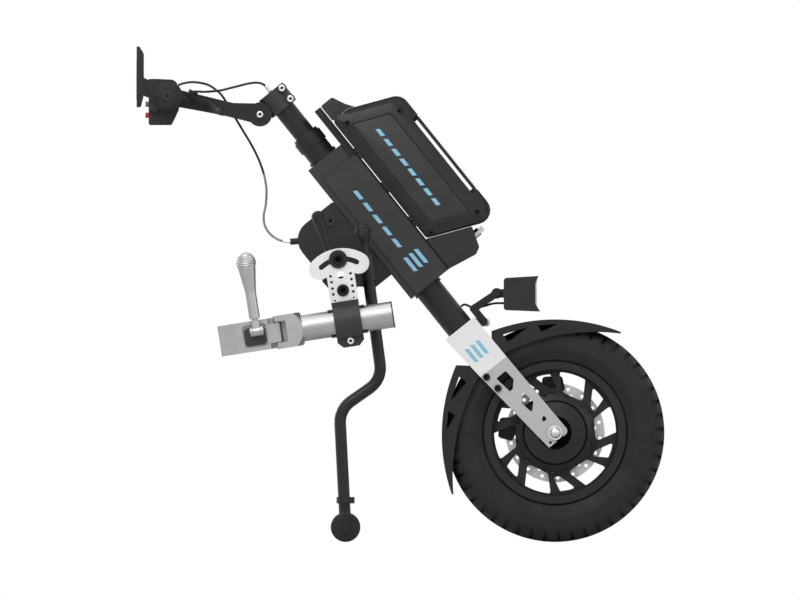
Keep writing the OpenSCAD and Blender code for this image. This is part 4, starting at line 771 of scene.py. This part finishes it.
class ASSIST_OT_cables(bpy.types.Operator):
    """Lays the control, brake and lamp cables along their routes"""

    bl_idname = "assist.cables"
    bl_label = "Cables"

    def execute(self, context):
        diameter = context.scene.assist_sizes.sheath
        line = smooth_line(CONTROL_ROUTE)
        for name, pair, first, last in (("control_cable_top", ("bar", "mast"), 0, HIGH_CUT),
                                        ("control_cable_drop", ("mast", "steering"), HIGH_CUT, LOW_CUT),
                                        ("control_cable_loop", ("steering", "frame"), LOW_CUT, len(line) - 1)):
            self.lay(name, line[first:last + 1], diameter, pair, "control_cable", "hanging")
        for side, s in RIGHT_LEFT:
            line = [Vector((p.x, p.y * s, p.z)) for p in smooth_line(BRAKE_ROUTE)]
            self.lay(f"brake_cable_{side}", line, diameter, ("bar", "mast"), "brake_cables", "taut")
        self.lay("lamp_lead", smooth_line(LAMP_ROUTE), diameter, ("steering",), "lamp_cable", "taut")
        return {"FINISHED"}

    def lay(self, name, line, diameter, pair, node, lie):
        """One stretch of cable that rides on one body, or stays fixed where it lies when it spans two."""
        piece = sheath(name, line, diameter, FINISH["grey_sheath" if name == "control_cable_loop" else "sheath"])
        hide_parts(node)
        if len(pair) == 1:
            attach(piece, *pair)
        else:
            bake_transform(piece)


SCREW_RIM = 0.16
SCREW_CROWN = 0.12
SCREW_SINK = 0.75
SCREW_EDGE = 0.05
SOCKET_WALL = 0.97
SOCKET_FLOOR = 0.1


def hexagon():
    """Draws the rings of corners round the selected face, about Z, in to a hexagon's outline."""
    mesh = bmesh.from_edit_mesh(bpy.context.object.data)
    side = math.tau / 6
    for corner in mesh.verts:
        if corner.select:
            angle = math.atan2(corner.co.y, corner.co.x) % side - side / 2
            share = math.cos(side / 2) / math.cos(angle)
            corner.co.x *= share
            corner.co.y *= share
    bmesh.update_edit_mesh(bpy.context.object.data)


def socket_screw(radius, height, finish, socket):
    """One socket screw's head, standing on the origin along Z, with its socket's faces in a second material, the
    painted shade.
    """
    begin()
    bpy.ops.mesh.primitive_cylinder_add(vertices=36, radius=radius, depth=height, location=(0, 0, height / 2))
    bpy.ops.object.transform_apply(location=True)
    piece = bpy.context.object
    for name in (finish, "recess"):
        piece.data.materials.append(FINISH[name])
    edit()
    pick(lambda face: face.normal.z > FACING)
    bpy.ops.mesh.inset(thickness=radius * SCREW_RIM)
    bpy.ops.transform.translate(value=(0, 0, height * SCREW_CROWN))
    bpy.ops.mesh.inset(thickness=radius * (1 - SCREW_RIM - socket))
    hexagon()
    push(0, 0, -height * SCREW_SINK)
    begin()
    for face in piece.data.polygons:
        flat = math.hypot(face.center.x, face.center.y)
        # The socket's faces take the painted shade.
        face.material_index = int(flat < radius * socket * SOCKET_WALL and face.center.z > height * SOCKET_FLOOR)
    round_edges(piece, radius * SCREW_EDGE)
    return piece


COVER_SLANT = math.tan(math.radians(23.5))
COVER_LOW = Vector((0.0565, 0.4345))
COVER_TOP = 0.7185
COVER_FRONT = 0.1720
COVER_SEAT = 0.0370
COVER_EDGE = 0.4
PANEL_CORNER = 0.45
GROOVE_MARGIN = 2
GROOVE_SLOPE = 0.3
GROOVE_FLOOR = 0.5
NEARLY = 1e-6


def battery_cover(sizes):
    """One cover, flat on the column's plane, that rises along Z: a wall, a wide bevel and a panel in a groove."""
    fall = (COVER_FRONT - COVER_LOW.x) * COVER_SLANT
    corners = ((COVER_LOW.x, COVER_LOW.y), (COVER_FRONT, COVER_LOW.y - fall), (COVER_FRONT, COVER_TOP - fall),
               (COVER_LOW.x, COVER_TOP))
    begin()
    bpy.ops.mesh.primitive_plane_add()
    piece = bpy.context.object
    for index, corner in zip(piece.data.polygons[0].vertices, corners):
        piece.data.vertices[index].co = (*corner, 0)
    piece.data.update()
    edit()
    bpy.ops.mesh.select_all(action="SELECT")
    push(0, 0, sizes.cover_wall)
    bpy.ops.mesh.inset(thickness=sizes.cover_bevel)
    bpy.ops.transform.translate(value=(0, 0, sizes.cover_rise))
    groove = sizes.cover_groove
    bpy.ops.mesh.inset(thickness=groove * GROOVE_MARGIN)
    bpy.ops.mesh.bevel(affect="VERTICES", offset=sizes.cover_corner * PANEL_CORNER, segments=6)
    mesh = bmesh.from_edit_mesh(piece.data)
    panel = max((face for face in mesh.faces if face.calc_center_median().z > sizes.cover_wall),
                key=lambda face: face.calc_area())
    pick(lambda face: face == panel)
    bpy.ops.mesh.inset(thickness=groove * GROOVE_SLOPE)
    bpy.ops.transform.translate(value=(0, 0, -groove))
    bpy.ops.mesh.inset(thickness=groove * GROOVE_FLOOR)
    bpy.ops.mesh.inset(thickness=groove * GROOVE_SLOPE)
    bpy.ops.transform.translate(value=(0, 0, groove))
    for finish in ("shell", "panel"):
        piece.data.materials.append(FINISH[finish])
    piece.active_material_index = 1
    bpy.ops.object.material_slot_assign()
    bpy.ops.mesh.select_mode(type="EDGE")
    bpy.ops.mesh.select_all(action="DESELECT")
    mesh = bmesh.from_edit_mesh(piece.data)
    for edge in mesh.edges:
        rise = edge.verts[0].co - edge.verts[1].co
        edge.select_set(rise.to_2d().length < NEARLY and abs(rise.length - sizes.cover_wall) < NEARLY)
    bmesh.update_edit_mesh(piece.data)
    bpy.ops.mesh.bevel(offset=sizes.cover_corner, segments=8)
    begin()
    return piece


class ASSIST_OT_covers(bpy.types.Operator):
    """Sets the bevelled covers on the battery's two sides"""

    bl_idname = "assist.covers"
    bl_label = "Battery covers"

    def execute(self, context):
        sizes = context.scene.assist_sizes
        flat = Matrix(((1, 0, 0, 0), (0, 0, 1, 0), (0, 1, 0, 0), (0, 0, 0, 1)))
        places = []
        for _, s in RIGHT_LEFT:
            out = Matrix.Diagonal((1, s, 1, 1)) @ Matrix.Translation((0, COVER_SEAT, 0))
            places.append(COLUMN @ out @ flat)
        piece = set_of(battery_cover(sizes), places)
        edit()
        face_outwards()
        round_edges(piece, sizes.cover_groove * COVER_EDGE, 30)
        dress(piece, "battery_covers", "battery", FINISH["shell"], FINISH["panel"])
        return {"FINISHED"}


BATTERY_CORNERS = ((0.0744, 0.6905), (0.1646, 0.6475), (0.1599, 0.4107), (0.0688, 0.4337))
HEAD_RISE = 0.35
HEAD_SOCKET = 0.46
LOW_RISE = 0.12
CAP_SOCKET = 0.24
PLUG_SOCKET = 0.22
PIVOT_SOCKET = 0.56
OUTER = (-1, 1)
STEM_CLAMP_SCREWS = ((0.0204, 0.8166), (0.0204, 0.7914))
FLANGE_SCREW = (350.7, 340.9)
# hub_step_shade is a thin dark ring of painted shade where the hub cover steps down; hub_boss_and_shade darkens the
# axle boss, its own dark colour with painted shade of its recess.
HUB_RINGS = (("hub_step_shade", 0.0572, 0.0602, 0.0580), ("hub_boss_and_shade", 0.0120, 0.0310, 0.0290))
JAW_POCKET = (255.4, 336.4)
JAW_PLATE = (0.0400, 0.0335)
INLAY_CORNER = 0.2
INLAY_EDGE = 0.3
FORK_SCREWS = ((486.2, 376.4), (497.3, 388.0))
CASE_CAP = (330.5, 221.2)
HUB_SCREW_RING = 0.0705
HUB_SCREWS = 6
HUB_SCREW_TURN = math.radians(12.7)


def on_column(*rows):
    """Points of the centre plane from their places off and up the column."""
    return [COLUMN @ Vector((n, 0, t)) for n, t in rows]


class ASSIST_OT_screws(bpy.types.Operator):
    """Sets the screws of the battery, hub, clamps, pivots and cases"""

    bl_idname = "assist.screws"
    bl_label = "Screws"

    def execute(self, context):
        sizes = context.scene.assist_sizes
        steps = [HUB_SCREW_TURN + math.tau / HUB_SCREWS * i for i in range(HUB_SCREWS)]
        ring = [AXLE + Vector((math.cos(a), 0, math.sin(a))) * HUB_SCREW_RING for a in steps]
        corners = on_column(*BATTERY_CORNERS)
        fork = [photo_point(*p) for p in FORK_SCREWS]
        cap = [photo_point(*CASE_CAP)]
        small, clamp = sizes.screw, sizes.clamp_screw
        for name, body, node, points, sides, *head in (
                ("battery_screws", "battery", "battery_covers", corners, OUTER, small, "black_steel"),
                ("hub_screws", "wheel", "motor_hub", ring, (NEAR,), sizes.hub_screw, "black_steel"),
                ("case_caps", "frame", "controller_case", cap, OUTER, sizes.case_cap, "plastic", LOW_RISE, CAP_SOCKET),
                ("stem_screws", "mast", "stem_clamp", on_column(*STEM_CLAMP_SCREWS), OUTER, clamp, "steel"),
                ("stem_pivot_screws", "bar", "stem_arm", [STEM], OUTER, clamp, "steel"),
                ("grip_plugs", "bar", "grips", [BAR], OUTER, sizes.grip_plug, "plastic", LOW_RISE, PLUG_SOCKET),
                ("fork_screws", "steering", "fork_bolts", fork, OUTER, small, "black_steel")):
            self.seat(name, body, node, points, sides, *head)
        flat = (sizes.pivot_screw, "black_steel", LOW_RISE, PIVOT_SOCKET)
        for side, s in RIGHT_LEFT:
            pivot, lock = (Vector(JOINTS[f"{joint}_{side}"]["pos_m"]) for joint in ("arm_tilt", "arm_lock"))
            arm, block, lever = f"tilt_arm_{side}", f"tube_clamp_{side}", f"lock_lever_{side}"
            self.seat(f"flange_screw_{side}", arm, block, [photo_point(*FLANGE_SCREW)], (s,), clamp, "steel")
            self.seat(f"pivot_screw_{side}", arm, block, [pivot], (s,), *flat)
            self.seat(f"lock_screw_{side}", lever, lever, [lock], (s,), *flat)
        return {"FINISHED"}

    def seat(self, name, body, node, points, sides, radius, finish, rise=HEAD_RISE, socket=HEAD_SOCKET):
        """One screw head at each point on each side of a node, as one piece."""
        places = [facing(skin(node, point, s), s) for point in points for s in sides]
        heads = set_of(socket_screw(radius, radius * rise, finish, socket), places)
        dress(heads, name, body, FINISH[finish], FINISH["recess"])


def flat_ring(inner, outer, height):
    """One flat ring that stands on the origin along Z."""
    begin()
    bpy.ops.mesh.primitive_cylinder_add(vertices=96, radius=outer, depth=height, location=(0, 0, height / 2))
    bpy.ops.object.transform_apply(location=True)
    piece = bpy.context.object
    edit()
    pick(lambda face: abs(face.normal.z) > FACING)
    bpy.ops.mesh.inset(thickness=outer - inner)
    bpy.ops.mesh.bridge_edge_loops()
    begin()
    round_edges(piece, height * INLAY_EDGE)
    return piece


def pocket_plate(length, width, height):
    """One plate with round corners that stands on the origin along Z."""
    begin()
    bpy.ops.mesh.primitive_plane_add(size=1)
    piece = bpy.context.object
    piece.scale = (length, width, 1)
    bpy.ops.object.transform_apply(scale=True)
    edit()
    bpy.ops.mesh.select_all(action="SELECT")
    bpy.ops.mesh.bevel(affect="VERTICES", offset=width * INLAY_CORNER, segments=6)
    bpy.ops.mesh.select_all(action="SELECT")
    push(0, 0, height)
    face_outwards()
    round_edges(piece, height * INLAY_EDGE)
    return piece


class ASSIST_OT_inlays(bpy.types.Operator):
    """Lays the dark rings on the hub, painted shade at the cover's step and on the recessed axle boss, and the dark
    plates in the clamp jaws' pockets
    """

    bl_idname = "assist.inlays"
    bl_label = "Inlays"

    def execute(self, context):
        film = context.scene.assist_sizes.inlay
        # Both hub rings take the painted shade.
        for name, inner, outer, seat in HUB_RINGS:
            places = []
            for _, s in RIGHT_LEFT:
                level = skin("motor_hub", AXLE + Vector((0, 0, -seat)), s).y
                places.append(facing(Vector((AXLE.x, level, AXLE.z)), s))
            dress(set_of(flat_ring(inner, outer, film), places), name, "wheel", FINISH["recess"])
        for side, s in RIGHT_LEFT:
            jaw = f"clamp_jaw_{side}"
            seat = skin(jaw, photo_point(*JAW_POCKET), s)
            turn = Matrix((ARM_X * -s, ARM_Z, Vector((0, s, 0)))).transposed().to_4x4()
            plate = pocket_plate(*JAW_PLATE, film)
            settle(plate, Matrix.Translation(seat) @ turn)
            dress(plate, f"jaw_plate_{side}", jaw, FINISH["coat"])
        return {"FINISHED"}


FERRULE_LENGTH = 4.4
SLEEVE_COLLAR = 0.3
SLEEVE_STEP = 0.18
SLEEVE_WAIST = 0.45
SLEEVE_TIP = 0.25
SLEEVE_TAPER = 0.8
SLEEVE_EDGE = 0.08
PLUG_RIM = 0.14
PLUG_SINK = 0.4
PLUG_BOSS = 0.5
PLUG_RISE = 0.15
PLUG_EDGE = 0.12
PLUG_LAP = 0.0003
PLUG_DEPTH = 0.0026
TUBE_END = 0.0005


def sleeve(radius):
    """One turned sleeve along Z, with a collar centred on the origin, a waist and a narrowed tip."""
    length = radius * FERRULE_LENGTH
    begin()
    bpy.ops.mesh.primitive_cylinder_add(vertices=28, radius=radius, depth=length * SLEEVE_COLLAR)
    piece = bpy.context.object
    edit()
    pick(lambda face: face.normal.z > FACING)
    bpy.ops.mesh.inset(thickness=radius * SLEEVE_STEP)
    push(0, 0, length * SLEEVE_WAIST)
    push(0, 0, length * SLEEVE_TIP)
    bpy.ops.transform.resize(value=(SLEEVE_TAPER, SLEEVE_TAPER, 1))
    begin()
    round_edges(piece, radius * SLEEVE_EDGE, 20)
    return piece


def end_plug(radius, depth):
    """One plug along Z that closes a tube's end, half of it inside, with a sunk face."""
    begin()
    bpy.ops.mesh.primitive_cylinder_add(vertices=64, radius=radius, depth=depth)
    piece = bpy.context.object
    edit()
    pick(lambda face: face.normal.z > FACING)
    bpy.ops.mesh.inset(thickness=radius * PLUG_RIM)
    push(0, 0, -depth * PLUG_SINK)
    bpy.ops.mesh.inset(thickness=radius * PLUG_BOSS)
    push(0, 0, depth * PLUG_RISE)
    begin()
    round_edges(piece, depth * PLUG_EDGE)
    return piece


def along(place, way):
    """The frame at a place whose Z axis points that way."""
    return Matrix.Translation(place) @ way.to_track_quat("Z", "Y").to_matrix().to_4x4()


class ASSIST_OT_ends(bpy.types.Operator):
    """Sets the cables' ferrules and the plugs in the arm tubes"""

    bl_idname = "assist.ends"
    bl_label = "Ferrules and plugs"

    def execute(self, context):
        sizes = context.scene.assist_sizes
        places = []
        for _, s in RIGHT_LEFT:
            before, end = (Vector((x, y * s, z)) / MILLIMETRES for x, y, z in BRAKE_ROUTE[-2:])
            places.append(along(end, before - end))
        dress(set_of(sleeve(sizes.ferrule), places), "brake_ferrules", "mast", FINISH["steel"])
        before, end = (Vector(p) / MILLIMETRES for p in CONTROL_ROUTE[-2:])
        ferrule = set_of(sleeve(sizes.ferrule), [along(end, before - end)])
        dress(ferrule, "case_ferrule", "frame", FINISH["steel"])
        for side, _ in RIGHT_LEFT:
            corners = [corner.co for corner in NODES[f"arm_tube_{side}"].data.vertices]
            front = max((corner - PIVOT).dot(ARM_X) for corner in corners)
            rim = [corner for corner in corners if (corner - PIVOT).dot(ARM_X) > front - TUBE_END]
            middle = sum(rim, Vector()) / len(rim)
            radius = max((corner - middle).length for corner in rim)
            plug = set_of(end_plug(radius + PLUG_LAP, PLUG_DEPTH), [along(middle, ARM_X)])
            dress(plug, f"arm_plug_{side}", f"arm_slide_{side}", FINISH["plastic"])
        return {"FINISHED"}


BAR_SLANT = 0.6
BARS = (
    ("battery_bars", "battery_covers", "battery", [(0.1115, 0.640 - 0.0235 * i) for i in range(8)], 0.0165),
    ("housing_bars", "housing_covers", "frame", [(0.007, 0.575 - 0.0285 * i) for i in range(5)], 0.020),
    ("housing_mark", "housing_covers", "frame", [(0.0148 + 0.0125 * i, 0.414) for i in (-1, 0, 1)], 0.032),
    ("fork_bars", "fork", "steering", [(-0.0025 + 0.0125 * i, 0.211) for i in (-1, 0, 1)], 0.030))


def slanted_bar(length, width, thick, slant):
    """One bar along X, standing on the origin along Z, with slanted ends."""
    begin()
    bpy.ops.mesh.primitive_cube_add(size=1, location=(0, 0, 0), scale=(length, width, thick))
    piece = bpy.context.object
    bpy.ops.object.transform_apply(location=True, rotation=True, scale=True)
    edit()
    pick(lambda face: face.normal.y > FACING)
    bpy.ops.transform.translate(value=(slant, 0, 0))
    bpy.ops.mesh.select_all(action="SELECT")
    bpy.ops.transform.translate(value=(0, 0, thick / 2))
    begin()
    modify(piece, "BEVEL", width=thick * 0.3, segments=1, limit_method="NONE")
    return piece


class ASSIST_OT_accents(bpy.types.Operator):
    """Lays plain slanted bars on the battery, the head housing and the fork"""

    bl_idname = "assist.accents"
    bl_label = "Accent bars"

    def execute(self, context):
        sizes = context.scene.assist_sizes
        across = Matrix(((0, 1, 0, 0), (0, 0, -1, 0), (-1, 0, 0, 0), (0, 0, 0, 1)))
        turn = COLUMN.to_3x3().to_4x4() @ across
        for name, node, body, row, length in BARS:
            places = [Matrix.Translation(skin(node, point)) @ turn for point in on_column(*row)]
            bar = slanted_bar(length, sizes.bar_width, sizes.bar_film, sizes.bar_width * BAR_SLANT)
            dress(set_of(bar, places), name, body, FINISH["accent"])
        return {"FINISHED"}


GLASS_SHARE = 0.86
GLASS_HEIGHT = 0.074
GLASS_THICK = 0.0012
GLASS_EDGE = 0.0004
GLASS_BORDER = 0.004
GLASS_SINK = 0.0004
GLASS_STAND = 0.0002
GLASS_RISE = 0.030
GLASS_FACE = 1e-4


class ASSIST_OT_screen(bpy.types.Operator):
    """Sets the display's glass in its case"""

    bl_idname = "assist.screen"
    bl_label = "Display glass"

    def execute(self, context):
        low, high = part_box("display_case")
        width = (high.y - low.y) * GLASS_SHARE
        begin()
        bpy.ops.mesh.primitive_cube_add(size=1, location=(0, 0, 0), scale=(GLASS_THICK, width, GLASS_HEIGHT))
        piece = context.object
        bpy.ops.object.transform_apply(location=True, rotation=True, scale=True)
        modify(piece, "BEVEL", width=GLASS_EDGE, segments=2, limit_method="NONE")
        edit()
        pick(lambda face: face.normal.x < -FACING and face.calc_area() > GLASS_FACE)
        bpy.ops.mesh.inset(thickness=GLASS_BORDER)
        push(GLASS_SINK, 0, 0)
        begin()
        settle(piece, Matrix.Translation((low.x + GLASS_STAND, 0, BAR.z + GLASS_RISE)))
        dress(piece, "display_glass", "bar", FINISH["screen"])
        return {"FINISHED"}


class ASSIST_PT_dressing(bpy.types.Panel):
    """Lists the steps and the values that they use"""

    bl_idname = "ASSIST_PT_dressing"
    bl_label = "Power assist"
    bl_space_type = "VIEW_3D"
    bl_region_type = "UI"
    bl_category = "Power assist"

    def draw(self, context):
        for group in (context.scene.assist_stage, context.scene.assist_finishes, context.scene.assist_sizes):
            box = self.layout.box()
            for key in group.__annotations__:
                box.prop(group, key)
        for operator in STEPS:
            self.layout.operator(operator.bl_idname)


GROUPS = (AssistFinishes, AssistSizes, AssistStage)
STEPS = (ASSIST_OT_stage, ASSIST_OT_finishes, ASSIST_OT_cables, ASSIST_OT_covers, ASSIST_OT_screws, ASSIST_OT_inlays,
         ASSIST_OT_ends, ASSIST_OT_accents, ASSIST_OT_screen)
CLASSES = (*GROUPS, *STEPS, ASSIST_PT_dressing)


def register():
    for cls in CLASSES:
        bpy.utils.register_class(cls)
    bpy.types.Scene.assist_finishes = bpy.props.PointerProperty(type=AssistFinishes)
    bpy.types.Scene.assist_sizes = bpy.props.PointerProperty(type=AssistSizes)
    bpy.types.Scene.assist_stage = bpy.props.PointerProperty(type=AssistStage)


def unregister():
    del bpy.types.Scene.assist_stage
    del bpy.types.Scene.assist_sizes
    del bpy.types.Scene.assist_finishes
    for cls in reversed(CLASSES):
        bpy.utils.unregister_class(cls)


def main():
    register()
    bpy.ops.assist.stage()
    bpy.ops.assist.finishes()
    bpy.ops.assist.cables()
    bpy.ops.assist.covers()
    bpy.ops.assist.screws()
    bpy.ops.assist.inlays()
    bpy.ops.assist.ends()
    bpy.ops.assist.accents()
    bpy.ops.assist.screen()
    begin()


if __name__ == "__main__":
    main()
